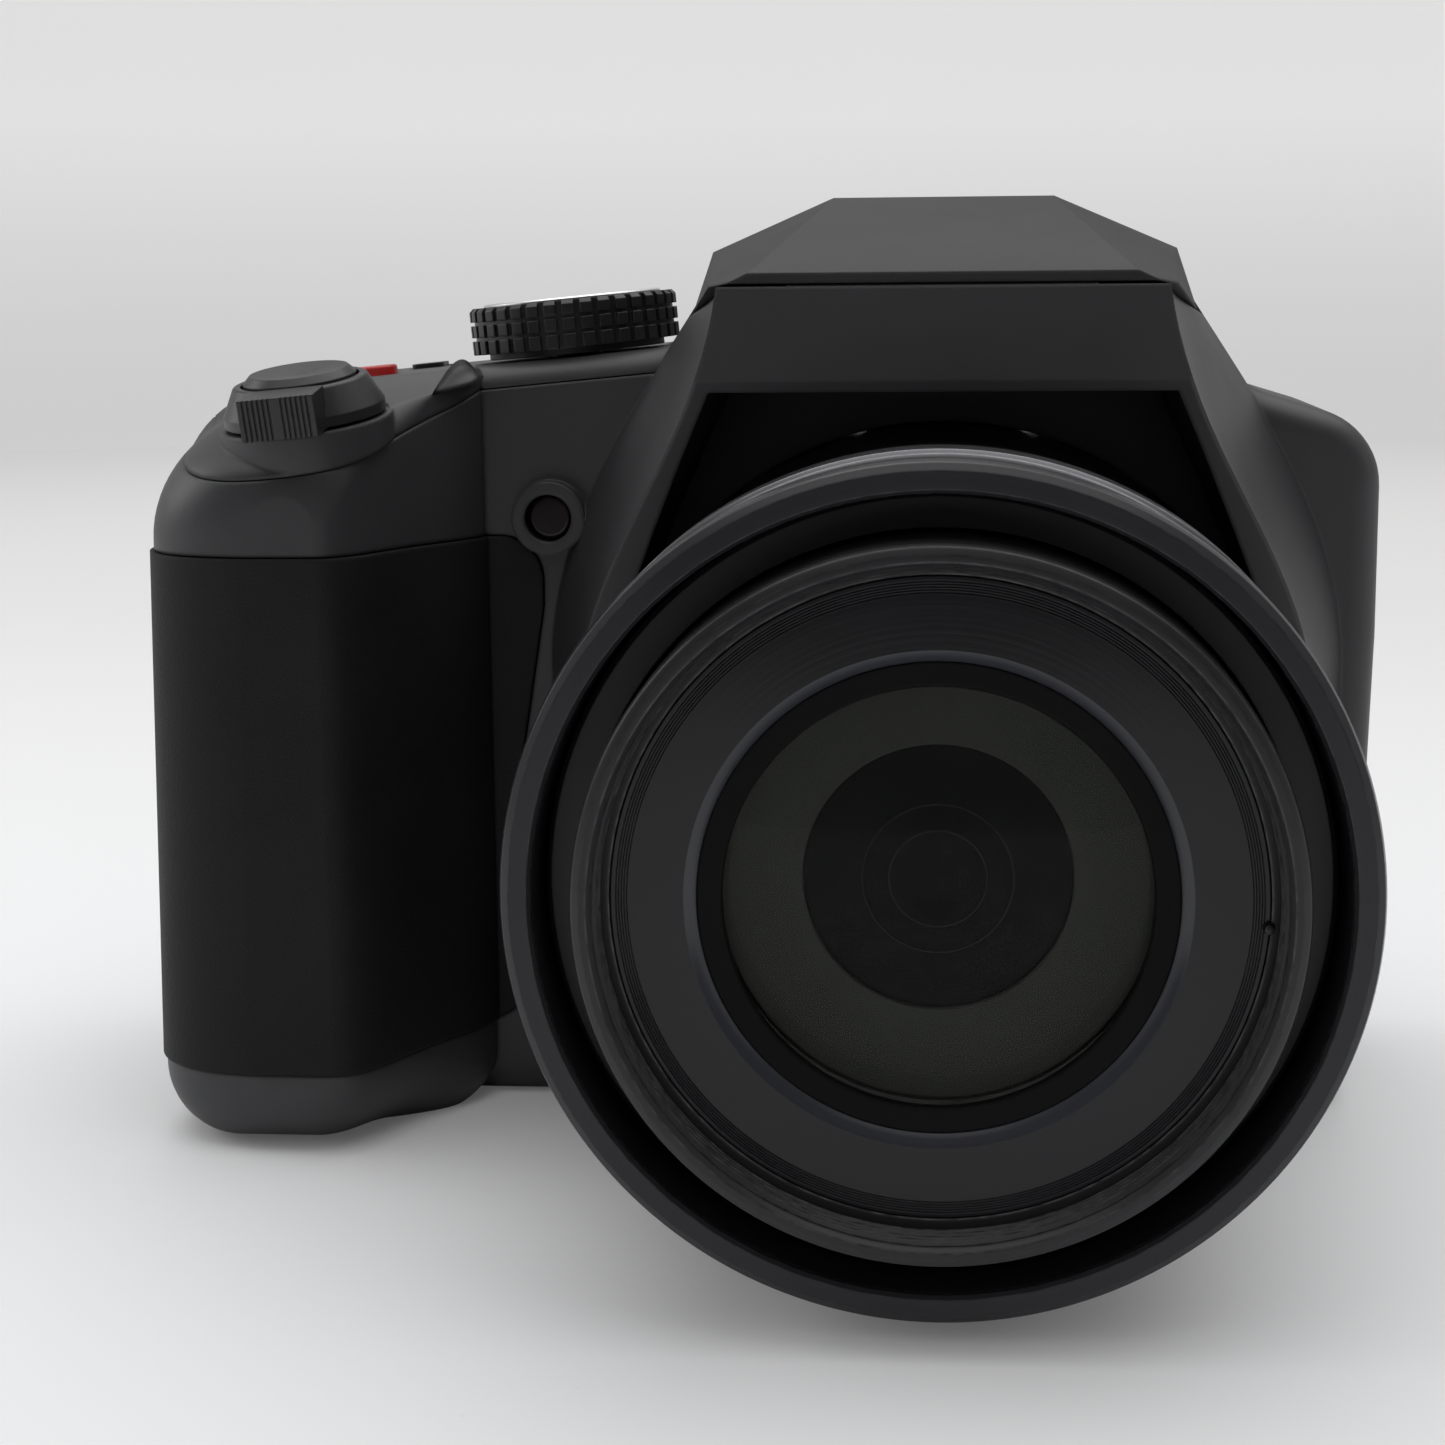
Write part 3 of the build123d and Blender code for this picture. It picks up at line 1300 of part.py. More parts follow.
with BuildPart() as flash_head:
    add(flash_form(0))
    add(flash_zone(running, running, running), mode=Mode.INTERSECT)
    add(flash_form(flash_wall), mode=Mode.SUBTRACT)
    block((-cheek_x, cheek_x), (flash_y - cheek_radius, cheek_radius),
          (0, form_floor + 2 * flash_wall), Mode.SUBTRACT)
    add(flash_ears.part)
    disc(hinge_plane, hinge_pin_radius + fit, -reach, reach, Mode.SUBTRACT)
flash_head.part.label = "flash_head"
export_step(flash_head.part, "parts/flash_head.step")

with BuildPart() as flash_lamp:
    add(flash_form(flash_wall + seam))
    with BuildSketch(Plane.YZ.offset(-lamp_half)) as wedge:
        with BuildLine():
            Polyline((lamp_front, ridge_z), (lamp_front, lamp_window_z), (lamp_foot_y, lamp_foot_z),
                     (lamp_back, lamp_foot_z), (lamp_back, ridge_z), close=True)
        make_face()
    extrude(wedge.sketch, amount=2 * lamp_half, mode=Mode.INTERSECT)
    extrude(rounded(flash_window_plane.offset(-lens_thick), (-lens_half, lens_half),
                    (-lamp_half / 4, lamp_half / 4), lens_margin, seam),
            amount=2 * lens_thick, mode=Mode.SUBTRACT)
flash_lamp.part.label = "flash_lamp"
export_step(flash_lamp.part, "parts/flash_lamp.step")

with BuildPart() as flash_window:
    extrude(rounded(flash_window_plane.offset(-lens_thick), (-lens_half, lens_half),
                    (-lamp_half / 4, lamp_half / 4), lens_margin), amount=lens_thick)
flash_window.part.label = "flash_window"
export_step(flash_window.part, "parts/flash_window.step")

with BuildPart() as flash_hinge_pin:
    disc(hinge_plane, hinge_pin_radius, -hinge_pin_half, hinge_pin_half)
flash_hinge_pin.part.label = "flash_hinge_pin"
export_step(flash_hinge_pin.part, "parts/flash_hinge_pin.step")
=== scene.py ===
import math
import bmesh
import bpy
from mathutils import Matrix, Vector


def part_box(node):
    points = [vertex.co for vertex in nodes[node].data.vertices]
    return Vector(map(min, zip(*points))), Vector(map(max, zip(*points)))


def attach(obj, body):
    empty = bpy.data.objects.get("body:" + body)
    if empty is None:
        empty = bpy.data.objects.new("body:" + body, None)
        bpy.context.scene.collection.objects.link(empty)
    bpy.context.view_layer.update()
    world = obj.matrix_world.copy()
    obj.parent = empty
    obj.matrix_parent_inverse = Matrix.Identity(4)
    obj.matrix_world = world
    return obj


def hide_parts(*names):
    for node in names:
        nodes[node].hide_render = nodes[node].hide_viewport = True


# A bridge camera on a pale table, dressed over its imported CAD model. All sizes are in metres.

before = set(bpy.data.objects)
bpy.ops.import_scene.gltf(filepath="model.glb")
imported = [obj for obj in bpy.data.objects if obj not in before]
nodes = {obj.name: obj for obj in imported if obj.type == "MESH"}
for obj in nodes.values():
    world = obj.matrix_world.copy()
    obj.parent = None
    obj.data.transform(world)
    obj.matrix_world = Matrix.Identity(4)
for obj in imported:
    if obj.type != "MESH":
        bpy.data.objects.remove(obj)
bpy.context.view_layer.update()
bpy.context.scene.view_settings.view_transform = "Standard"

# The photographer's place: in front of the lens, a little above it and a little to the left,
# with a short telephoto lens. It is fitted to the object's own outline.
eye = Vector((0.001236, -0.29631, 0.08823))
eye_yaw, eye_pitch, eye_roll = (math.radians(a) for a in (-4.949, 9.654, -0.546))
ahead = Vector((math.sin(eye_yaw) * math.cos(eye_pitch),
                math.cos(eye_yaw) * math.cos(eye_pitch), -math.sin(eye_pitch)))
level = Vector((math.cos(eye_yaw), -math.sin(eye_yaw), 0))
aside = math.cos(eye_roll) * level + math.sin(eye_roll) * level.cross(ahead)
upward = math.cos(eye_roll) * level.cross(ahead) - math.sin(eye_roll) * level
eye_data = bpy.data.cameras.new("photographer")
eye_data.lens = 67.44
eye_data.clip_start, eye_data.clip_end = 0.01, 20
photographer = bpy.data.objects.new("photographer", eye_data)
photographer.matrix_world = Matrix.Translation(eye) @ Matrix(
    (aside, upward, -ahead)).transposed().to_4x4()
bpy.context.collection.objects.link(photographer)
bpy.context.scene.camera = photographer


# The table and the sweep round it: one pale matte board, cut round, whose edge rises far from
# the object, so that every view ends in the same soft grey. Its far part is painted a darker
# grey: painted shade, where less light would fall.
def put(tree, kind, sockets=None, **settings):
    """Add a node, with its settings and with values or links for its sockets."""
    made = tree.nodes.new("ShaderNode" + kind)
    for key, value in settings.items():
        setattr(made, key, value)
    for key, value in (sockets or {}).items():
        if isinstance(value, bpy.types.NodeSocket):
            tree.links.new(value, made.inputs[key])
        else:
            made.inputs[key].default_value = value
    return made


def reckon(tree, operation, *values, clamp=False):
    """A Math node's result."""
    return put(tree, "Math", dict(enumerate(values)), operation=operation,
               use_clamp=clamp).outputs[0]


def spread(tree, value, low, high, to_low=0.0, to_high=1.0, soft=False):
    """A value's range stretched to another range."""
    return put(tree, "MapRange", {"Value": value, "From Min": low, "From Max": high,
                                  "To Min": to_low, "To Max": to_high},
               interpolation_type="SMOOTHSTEP" if soft else "LINEAR").outputs["Result"]


def blended(tree, share, first, second):
    """Two colours mixed by a share."""
    mix = put(tree, "Mix", {"Factor": share}, data_type="RGBA")
    for key, value in ((6, first), (7, second)):
        if isinstance(value, bpy.types.NodeSocket):
            tree.links.new(value, mix.inputs[key])
        else:
            mix.inputs[key].default_value = (*value, 1)
    return mix.outputs[2]


def blank_material(name):
    """A material with a Principled shader, its tree and its Object coordinates."""
    material = bpy.data.materials.new(name)
    material.use_nodes = True
    tree = material.node_tree
    return material, tree, tree.nodes["Principled BSDF"], put(tree, "TexCoord").outputs["Object"]


def new_piece(name, mesh, *materials, smooth=0.6):
    """An object from a bmesh, with its faces smooth up to an angle."""
    data = bpy.data.meshes.new(name)
    mesh.to_mesh(data)
    mesh.free()
    made = bpy.data.objects.new(name, data)
    bpy.context.collection.objects.link(made)
    for material in materials:
        data.materials.append(material)
    data.shade_smooth()
    data.set_sharp_from_angle(angle=smooth)
    return made


near_tone, far_shade_tone, speck_tone = (0.78, 0.785, 0.795), (0.66, 0.655, 0.655), (0.3, 0.3, 0.3)
backdrop_glow = (0.31, 0.305, 0.305)
board, tree, shader, place = blank_material("matte_board")
depth = put(tree, "SeparateXYZ", {"Vector": place}).outputs["Y"]
cloud = put(tree, "TexNoise", {"Vector": place, "Scale": 9.0, "Detail": 3.0}).outputs["Fac"]
# The share of the darker far tone, painted shade that grows with depth, with a little random
# cloud.
far = reckon(tree, "ADD", spread(tree, depth, -0.05, 0.45, soft=True),
             spread(tree, cloud, 0.3, 0.7, -0.02, 0.02))
speck = put(tree, "TexVoronoi", {"Vector": place, "Scale": 110.0}).outputs["Distance"]
dusty = spread(tree, speck, 0.02, 0.035, 0.06, 0.0)
tree.links.new(blended(tree, dusty, blended(tree, far, near_tone, far_shade_tone), speck_tone),
               shader.inputs["Base Color"])
tree.links.new(spread(tree, cloud, 0.3, 0.7, 0.62, 0.7), shader.inputs["Roughness"])
# What the eye sees of it, directly or through glass, glows more the further and higher it lies.
away = put(tree, "VectorMath", {0: place}, operation="LENGTH").outputs["Value"]
height = put(tree, "SeparateXYZ", {"Vector": place}).outputs["Z"]
lift = reckon(tree, "ADD", spread(tree, away, 0.1, 0.9, 0.20, 0.46, soft=True),
              spread(tree, height, 0.0, 0.25, 0.0, 0.70, soft=True))
seen = reckon(tree, "MAXIMUM", *(put(tree, "LightPath").outputs[key]
                                 for key in ("Is Camera Ray", "Is Transmission Ray")))
tree.links.new(blended(tree, reckon(tree, "MULTIPLY", lift, seen), (0, 0, 0), backdrop_glow),
               shader.inputs["Emission Color"])
shader.inputs["Emission Strength"].default_value = 1.0
shader.inputs["Specular IOR Level"].default_value = 0.2

board_reach, sweep_curve, sweep_high, sweep_steps = 1.1, 0.35, 1.5, 8
mesh = bmesh.new()
bmesh.ops.create_circle(mesh, cap_ends=True, radius=board_reach, segments=96)
table = new_piece("table_board", mesh, board)

mesh = bmesh.new()
bend = [mesh.verts.new((board_reach, 0, 0))]
for step in range(1, sweep_steps + 1):
    angle = math.radians(90 * step / sweep_steps)
    bend.append(mesh.verts.new((board_reach + sweep_curve * math.sin(angle), 0,
                                sweep_curve * (1 - math.cos(angle)))))
bend.append(mesh.verts.new((board_reach + sweep_curve, 0, sweep_high)))
line = [mesh.edges.new(pair) for pair in zip(bend, bend[1:])]
bmesh.ops.spin(mesh, geom=bend + line, cent=(0, 0, 0), axis=(0, 0, 1), angle=math.tau,
               steps=96, use_merge=True)
bmesh.ops.reverse_faces(mesh, faces=mesh.faces)
sweep = new_piece("sweep", mesh, board)
sweep.visible_diffuse = sweep.visible_shadow = False

# The dark room behind the photographer: one upright black card that stands where the
# photographer does. Only glossy surfaces show it.
card_wide, card_high, card_spot = 1.7, 0.9, (0, -0.40, 0.46)
card, tree, shader, place = blank_material("dark_room")
tree.links.new(spread(tree, put(tree, "TexNoise", {"Vector": place, "Scale": 3.0}).outputs["Fac"],
                      0.3, 0.7, 0.8, 1.0), shader.inputs["Roughness"])
shader.inputs["Base Color"].default_value = (0.02, 0.02, 0.022, 1)
mesh = bmesh.new()
bmesh.ops.create_grid(mesh, x_segments=1, y_segments=1, size=0.5,
                      matrix=Matrix.Translation(card_spot) @ Matrix.Rotation(math.pi / 2, 4, "X")
                      @ Matrix.Diagonal((card_wide, card_high, 1, 1)))
dark_card = new_piece("dark_card", mesh, card)
dark_card.visible_camera = dark_card.visible_diffuse = dark_card.visible_shadow = False
dark_card.visible_transmission = False

# The light: an even room, one large soft lamp overhead, a little behind the object, and a small
# weak one to the side of the grip. Both lamps point at the middle of the object.
lamp_aim = Vector((0, -0.03, 0.05))
room = bpy.data.worlds.new("room")
bpy.context.scene.world = room
room.use_nodes = True
room.node_tree.nodes["Background"].inputs["Color"].default_value = (1, 1, 1, 1)
room.node_tree.nodes["Background"].inputs["Strength"].default_value = 0.56
for name, spot, wide, power in (("soft_lamp", (0.05, 0.1, 0.85), 1.2, 6.0),
                                ("side_lamp", (-0.75, 0.15, 0.4), 0.4, 1.0)):
    lamp_data = bpy.data.lights.new(name, "AREA")
    lamp_data.size = wide
    lamp_data.energy = power
    lamp = bpy.data.objects.new(name, lamp_data)
    lamp.location = spot
    lamp.rotation_euler = (lamp_aim - Vector(spot)).to_track_quat("-Z", "Y").to_euler()
    bpy.context.collection.objects.link(lamp)


# The casing: front, rear and top covers, base plate and doors. They are moulded in black
# glass-filled plastic with a fine spark-eroded grain, and held by screws and the doors' pins.
def effect(name, inputs, outputs):
    """A shader node group with its own inputs and outputs."""
    group = bpy.data.node_groups.new(name, "ShaderNodeTree")
    for key, kind, value in inputs:
        socket = group.interface.new_socket(key, in_out="INPUT", socket_type="NodeSocket" + kind)
        if value is not None:
            socket.default_value = value
    for key, kind in outputs:
        group.interface.new_socket(key, in_out="OUTPUT", socket_type="NodeSocket" + kind)
    return group, group.nodes.new("NodeGroupInput"), group.nodes.new("NodeGroupOutput")


def place_effect(tree, group, **sockets):
    """Put an effect into a material's tree."""
    return put(tree, "Group", {key.capitalize(): value for key, value in sockets.items()},
               node_tree=group).outputs


# Moulded grain: small even pits, with slow changes of tone from handling.
moulded_grain, given, result = effect("moulded_grain", [("Vector", "Vector", None),
                                                        ("Size", "Float", 0.0003)],
                                      [("Height", "Float"), ("Tone", "Float")])
cells = reckon(moulded_grain, "DIVIDE", 1.0, given.outputs["Size"])
fine = put(moulded_grain, "TexNoise", {"Vector": given.outputs["Vector"], "Scale": cells,
                                       "Detail": 3.0, "Roughness": 0.6}).outputs["Fac"]
pits = put(moulded_grain, "TexVoronoi", {"Vector": given.outputs["Vector"], "Scale": cells},
           feature="SMOOTH_F1").outputs["Distance"]
hands = put(moulded_grain, "TexNoise", {"Vector": given.outputs["Vector"], "Scale": 55.0,
                                        "Detail": 4.0, "Roughness": 0.55}).outputs["Fac"]
moulded_grain.links.new(reckon(moulded_grain, "ADD", reckon(moulded_grain, "MULTIPLY", fine, 0.6),
                               reckon(moulded_grain, "MULTIPLY", pits, 0.4)),
                        result.inputs["Height"])
moulded_grain.links.new(reckon(moulded_grain, "ADD",
                               spread(moulded_grain, hands, 0.32, 0.68, 0.0, 0.8),
                               spread(moulded_grain, fine, 0.3, 0.7, 0.0, 0.2), clamp=True),
                        result.inputs["Tone"])

# Worn edges: where a rounded normal leaves the face's own, broken up by noise.
edge_wear, given, result = effect("edge_wear", [("Vector", "Vector", None),
                                                ("Radius", "Float", 0.0003)],
                                  [("Mask", "Float"), ("Normal", "Vector")])
rounded = put(edge_wear, "Bevel", {"Radius": given.outputs["Radius"]}, samples=6).outputs["Normal"]
turn = put(edge_wear, "VectorMath", {0: rounded,
                                     1: put(edge_wear, "NewGeometry").outputs["Normal"]},
           operation="DOT_PRODUCT").outputs["Value"]
rubbed = put(edge_wear, "TexNoise", {"Vector": given.outputs["Vector"], "Scale": 900.0,
                                     "Detail": 4.0}).outputs["Fac"]
edge_wear.links.new(reckon(edge_wear, "MULTIPLY", spread(edge_wear, turn, 0.985, 0.80),
                           spread(edge_wear, rubbed, 0.35, 0.65), clamp=True),
                    result.inputs["Mask"])
edge_wear.links.new(rounded, result.inputs["Normal"])

# Settled dust: scattered small pale specks.
dust, given, result = effect("dust", [("Vector", "Vector", None), ("Spacing", "Float", 0.004)],
                             [("Mask", "Float")])
grid = reckon(dust, "DIVIDE", 1.0, given.outputs["Spacing"])
motes = put(dust, "TexVoronoi", {"Vector": given.outputs["Vector"], "Scale": grid})
chosen = spread(dust, put(dust, "SeparateColor", {"Color": motes.outputs["Color"]}).outputs[0],
                0.72, 1.0, 0.0, 0.022)
dust.links.new(reckon(dust, "LESS_THAN", motes.outputs["Distance"], chosen), result.inputs["Mask"])


def finish(name, colour, tone, worn, rough, pattern, size, depth, radius=0.0003, wear=0.5,
           specks=0.0, sheen=0.0, metallic=0.0, specular=0.5):
    """A solid surface: two tones under a pattern, paler edges, dust and a fine relief."""
    material, tree, shader, place = blank_material(name)
    relief = place_effect(tree, pattern, vector=place, size=size)
    edges = place_effect(tree, edge_wear, vector=place, radius=radius)
    paint = blended(tree, relief["Tone"], colour, tone)
    paint = blended(tree, reckon(tree, "MULTIPLY", edges["Mask"], wear), paint, worn)
    if specks:
        motes = place_effect(tree, dust, vector=place, spacing=specks)["Mask"]
        paint = blended(tree, reckon(tree, "MULTIPLY", motes, 0.5), paint, (0.4, 0.39, 0.37))
    tree.links.new(paint, shader.inputs["Base Color"])
    tree.links.new(spread(tree, relief["Tone"], 0, 1, *rough), shader.inputs["Roughness"])
    bump = put(tree, "Bump", {"Strength": 1.0, "Distance": depth, "Height": relief["Height"],
                              "Normal": edges["Normal"]})
    tree.links.new(bump.outputs["Normal"], shader.inputs["Normal"])
    for key, value in (("Metallic", metallic), ("Sheen Weight", sheen),
                       ("Specular IOR Level", specular)):
        shader.inputs[key].default_value = value
    return material


def dress(material, *names):
    """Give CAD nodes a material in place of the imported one."""
    for name in names:
        slots = nodes[name].data.materials
        slots.clear()
        slots.append(material)


casing_plastic = finish("casing_plastic", (0.029, 0.029, 0.031), (0.037, 0.037, 0.040),
                        (0.06, 0.06, 0.063), (0.40, 0.50), moulded_grain, 0.00035, 0.00001,
                        radius=0.0006, specks=0.006)
dress(casing_plastic, "front_cover", "rear_cover", "top_cover", "base_plate", "battery_door",
      "terminal_door")

# The flash head's shell: the same plastic, painted matte, so it shines less than the covers and
# takes the light of the lamp overhead evenly. It swings up on the pin at its back.
flash_plastic = finish("flash_plastic", (0.019, 0.019, 0.020), (0.025, 0.025, 0.026),
                       (0.055, 0.055, 0.057), (0.5, 0.6), moulded_grain, 0.0003, 0.00001,
                       radius=0.0006, specks=0.006, specular=0.35)
dress(flash_plastic, "flash_head")

# The grip's skin and the thumb pad: black rubber with a fine leather-like grain, glued into a
# shallow bed. Its rim is rubbed smooth and a little paler.
leather_grain, given, result = effect("leather_grain", [("Vector", "Vector", None),
                                                        ("Size", "Float", 0.0008)],
                                      [("Height", "Float"), ("Tone", "Float")])
cells = reckon(leather_grain, "DIVIDE", 1.0, given.outputs["Size"])
drift = put(leather_grain, "TexNoise", {"Vector": given.outputs["Vector"],
                                        "Scale": reckon(leather_grain, "MULTIPLY", cells, 0.5),
                                        "Detail": 2.0}).outputs["Color"]
moved = put(leather_grain, "VectorMath", {0: drift, 1: given.outputs["Size"]},
            operation="MULTIPLY").outputs["Vector"]
wandering = put(leather_grain, "VectorMath", {0: given.outputs["Vector"], 1: moved},
                operation="ADD").outputs["Vector"]
creases = put(leather_grain, "TexVoronoi", {"Vector": wandering, "Scale": cells},
              feature="DISTANCE_TO_EDGE").outputs["Distance"]
pores = put(leather_grain, "TexNoise", {"Vector": given.outputs["Vector"],
                                        "Scale": reckon(leather_grain, "MULTIPLY", cells, 3.0),
                                        "Detail": 2.0}).outputs["Fac"]
pads = spread(leather_grain, creases, 0.0, 0.22, soft=True)
leather_grain.links.new(reckon(leather_grain, "ADD", pads,
                               reckon(leather_grain, "MULTIPLY", pores, 0.3)),
                        result.inputs["Height"])
touched = put(leather_grain, "TexNoise", {"Vector": given.outputs["Vector"], "Scale": 70.0,
                                          "Detail": 4.0}).outputs["Fac"]
leather_grain.links.new(reckon(leather_grain, "MULTIPLY", spread(leather_grain, touched, 0.3, 0.7),
                               spread(leather_grain, pads, 0, 1, 0.5, 1.0), clamp=True),
                        result.inputs["Tone"])
grip_rubber = finish("grip_rubber", (0.009, 0.009, 0.010), (0.015, 0.015, 0.016),
                     (0.03, 0.03, 0.031), (0.56, 0.68), leather_grain, 0.00045, 0.00002,
                     radius=0.0006, specks=0.012, specular=0.2)
dress(grip_rubber, "grip_skin", "thumb_pad")

# The eyecup: soft black rubber, moulded in one piece and pressed over the viewfinder's hood. It
# is the dullest surface of the camera.
cup_rubber = finish("cup_rubber", (0.010, 0.010, 0.010), (0.018, 0.018, 0.018),
                    (0.03, 0.03, 0.03), (0.62, 0.75), moulded_grain, 0.0004, 0.00002,
                    radius=0.0006, specks=0.008, sheen=0.08)
dress(cup_rubber, "eyecup")

# Buttons, switch, zoom lever, latch and rear dial: smoother black plastic than the casing, made
# shiny by fingers. Each is held in by a flange or a shaft behind the cover. The movie button is
# moulded in red.
button_plastic = finish("button_plastic", (0.014, 0.014, 0.015), (0.02, 0.02, 0.021),
                        (0.06, 0.06, 0.062), (0.3, 0.42), moulded_grain, 0.0005, 0.000012,
                        radius=0.0002, specks=0.006)
dress(button_plastic, "power_switch", "burst_button", "flash_button", "evf_button", "lock_button",
      "playback_button", "menu_button", "display_button", "cursor_pad", "set_button",
      "battery_latch", "rear_dial", "diopter_dial", "zoom_lever", "shutter_button")
movie_red = finish("movie_red", (0.42, 0.012, 0.012), (0.5, 0.02, 0.018), (0.6, 0.1, 0.09),
                   (0.28, 0.4), moulded_grain, 0.0005, 0.00001, radius=0.0002)
dress(movie_red, "movie_button")

# The mode dial: a black moulded wheel with studs round its rim, which turns on a shaft in the
# deck, under a silver cap that is spun from thin aluminium and glued in.
def ring_pattern(name, centre, axis_turn):
    """Fine lines that turn round an axis, as a lathe leaves them."""
    group, given, result = effect(name, [("Vector", "Vector", None), ("Size", "Float", 0.0001)],
                                  [("Height", "Float"), ("Tone", "Float")])
    local = put(group, "Mapping", {"Vector": given.outputs["Vector"], "Location": centre,
                                   "Rotation": axis_turn}, vector_type="TEXTURE").outputs[0]
    parts = put(group, "SeparateXYZ", {"Vector": local}).outputs
    flat = put(group, "CombineXYZ", {"X": parts["X"], "Y": parts["Y"]}).outputs[0]
    radius = put(group, "VectorMath", {0: flat}, operation="LENGTH").outputs["Value"]
    along = put(group, "CombineXYZ", {"X": reckon(group, "DIVIDE", radius, given.outputs["Size"]),
                                      "Y": reckon(group, "DIVIDE", parts["Z"],
                                                  given.outputs["Size"])}).outputs[0]
    lines = put(group, "TexNoise", {"Vector": along, "Scale": 1.0, "Detail": 2.0}).outputs["Fac"]
    patches = put(group, "TexNoise", {"Vector": given.outputs["Vector"], "Scale": 45.0,
                                      "Detail": 4.0}).outputs["Fac"]
    group.links.new(lines, result.inputs["Height"])
    group.links.new(reckon(group, "ADD", spread(group, patches, 0.3, 0.7, 0.0, 0.7),
                           spread(group, lines, 0.3, 0.7, 0.0, 0.3), clamp=True),
                    result.inputs["Tone"])
    return group


cap_low, cap_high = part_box("mode_dial_cap")
dial_middle = (cap_low + cap_high) / 2
dial_lean = math.radians(5.2)
cap_lines = ring_pattern("cap_lines", dial_middle, (0, -dial_lean, 0))
dial_plastic = finish("dial_plastic", (0.012, 0.012, 0.012), (0.018, 0.018, 0.018),
                      (0.07, 0.07, 0.072), (0.3, 0.42), moulded_grain, 0.0004, 0.00001,
                      radius=0.0002, wear=0.7, specks=0.004)
dress(dial_plastic, "mode_dial")
spun_silver = finish("spun_silver", (0.80, 0.80, 0.81), (0.88, 0.88, 0.89), (0.93, 0.93, 0.94),
                     (0.26, 0.36), cap_lines, 0.00008, 0.000004, radius=0.00015, metallic=1.0)
dress(spun_silver, "mode_dial_cap")

# The lens's housing and outer zoom barrel: tubes turned from aluminium and black anodised, one
# sliding in the other, with fine lathe lines that show at their bright edges.
lens_axis = Vector((0, 0, 0.0374))
barrel_lines = ring_pattern("barrel_lines", lens_axis, (math.radians(90), 0, 0))
barrel_black = finish("barrel_black", (0.012, 0.012, 0.013), (0.017, 0.017, 0.019),
                      (0.10, 0.10, 0.105), (0.30, 0.38), barrel_lines, 0.00012, 0.000004,
                      radius=0.00018, wear=0.4, specks=0.005, specular=0.4)
dress(barrel_black, "lens_housing", "zoom_barrel_outer")


# The trim ring: turned from aluminium, black and polished on its face and inside, and bare on
# its outer side, where a shallow band runs round it. It is pressed on the housing's mouth.
def turned_piece(name, body, slot, material, *rings, stands_for=()):
    """A piece turned round the optical axis, from a closed line of radii and depths."""
    mesh = bmesh.new()
    line = [mesh.verts.new((radius, depth, lens_axis.z)) for radius, depth in rings]
    edges = [mesh.edges.new(pair) for pair in zip(line, line[1:] + line[:1])]
    bmesh.ops.spin(mesh, geom=line + edges, cent=lens_axis, axis=(0, 1, 0), angle=math.tau,
                   steps=192, use_merge=True)
    bmesh.ops.recalc_face_normals(mesh, faces=mesh.faces)
    made = new_piece(name, mesh, material, smooth=0.35)
    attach(made, body)
    if stands_for:
        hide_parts(*stands_for)
    return made


def repaint(made, material, chosen):
    """Give a turned piece's faces a second material, where radius and depth say so."""
    made.data.materials.append(material)
    for face in made.data.polygons:
        reach = math.hypot(face.center.x, face.center.z - lens_axis.z)
        face.material_index = int(chosen(reach, face.center.y))


ring_bore, ring_seat, ring_reach = 0.0329, 0.03445, 0.0355
ring_face, ring_foot, band_sink = -0.0850, -0.0660, 0.0004
trim_polish = finish("trim_polish", (0.016, 0.016, 0.018), (0.024, 0.024, 0.027),
                     (0.22, 0.22, 0.23), (0.20, 0.28), barrel_lines, 0.00015, 0.000004,
                     radius=0.0002, wear=0.6, specks=0.004, specular=0.3)
trim_ring = turned_piece(
    "trim_ring", "camera_body", "trim_dark", trim_polish, (ring_bore, ring_face + 0.0010),
    (ring_bore, ring_face + 0.0003), (ring_bore + 0.0003, ring_face),
    (ring_reach - 0.0008, ring_face), (ring_reach - 0.0002, ring_face + 0.0005),
    (ring_reach, ring_face + 0.0011),
    (ring_reach, ring_face + 0.0036), (ring_reach - band_sink, ring_face + 0.0039),
    (ring_reach - band_sink, ring_foot - 0.0062), (ring_reach, ring_foot - 0.0059),
    (ring_reach, ring_foot - 0.0008), (ring_reach - 0.0006, ring_foot), (ring_seat, ring_foot),
    (ring_seat, ring_face + 0.0010), stands_for=("barrel_trim_ring",))
bare_metal = finish("bare_metal", (0.15, 0.15, 0.158), (0.19, 0.19, 0.2), (0.5, 0.5, 0.52),
                    (0.24, 0.32), barrel_lines, 0.00015, 0.000004, radius=0.0002, wear=0.7,
                    metallic=1.0)
repaint(trim_ring, bare_metal,
        lambda reach, depth: reach > ring_seat + 0.0005 and depth > ring_face + 0.0012)

# The inner barrel: turned in one piece with the seat of the front glass, and black anodised. It
# has a worn double bevel round its mouth, and the filter thread is cut inside it.
rim_worn = finish("rim_worn", (0.013, 0.013, 0.014), (0.02, 0.02, 0.022), (0.16, 0.16, 0.165),
                  (0.26, 0.36), barrel_lines, 0.00012, 0.000004, radius=0.00035, wear=0.8,
                  specks=0.004, specular=0.35)
lip_black = finish("lip_black", (0.004, 0.004, 0.004), (0.007, 0.007, 0.007), (0.02, 0.02, 0.02),
                   (0.6, 0.7), barrel_lines, 0.00012, 0.000004, specular=0.1)
mouth, shell_reach, shell_bore = -0.0885, 0.0293, 0.0279
foot_reach, foot_front, foot_back = 0.0309, -0.0380, -0.0360
thread_crest, thread_root, thread_pitch, thread_turns = 0.0271, 0.0275, 0.00075, 4
relief_reach, relief_front, relief_back = 0.0283, -0.0847, -0.0842
seat_reach, seat_bore, seat_face, seat_back = 0.0265, 0.0194, -0.0828, -0.0813
tube_reach, tube_bore, tube_back = 0.01955, 0.01815, -0.0680
lip_bore, lip_front, lip_back = 0.0174, -0.0834, -0.0822
ridges = []
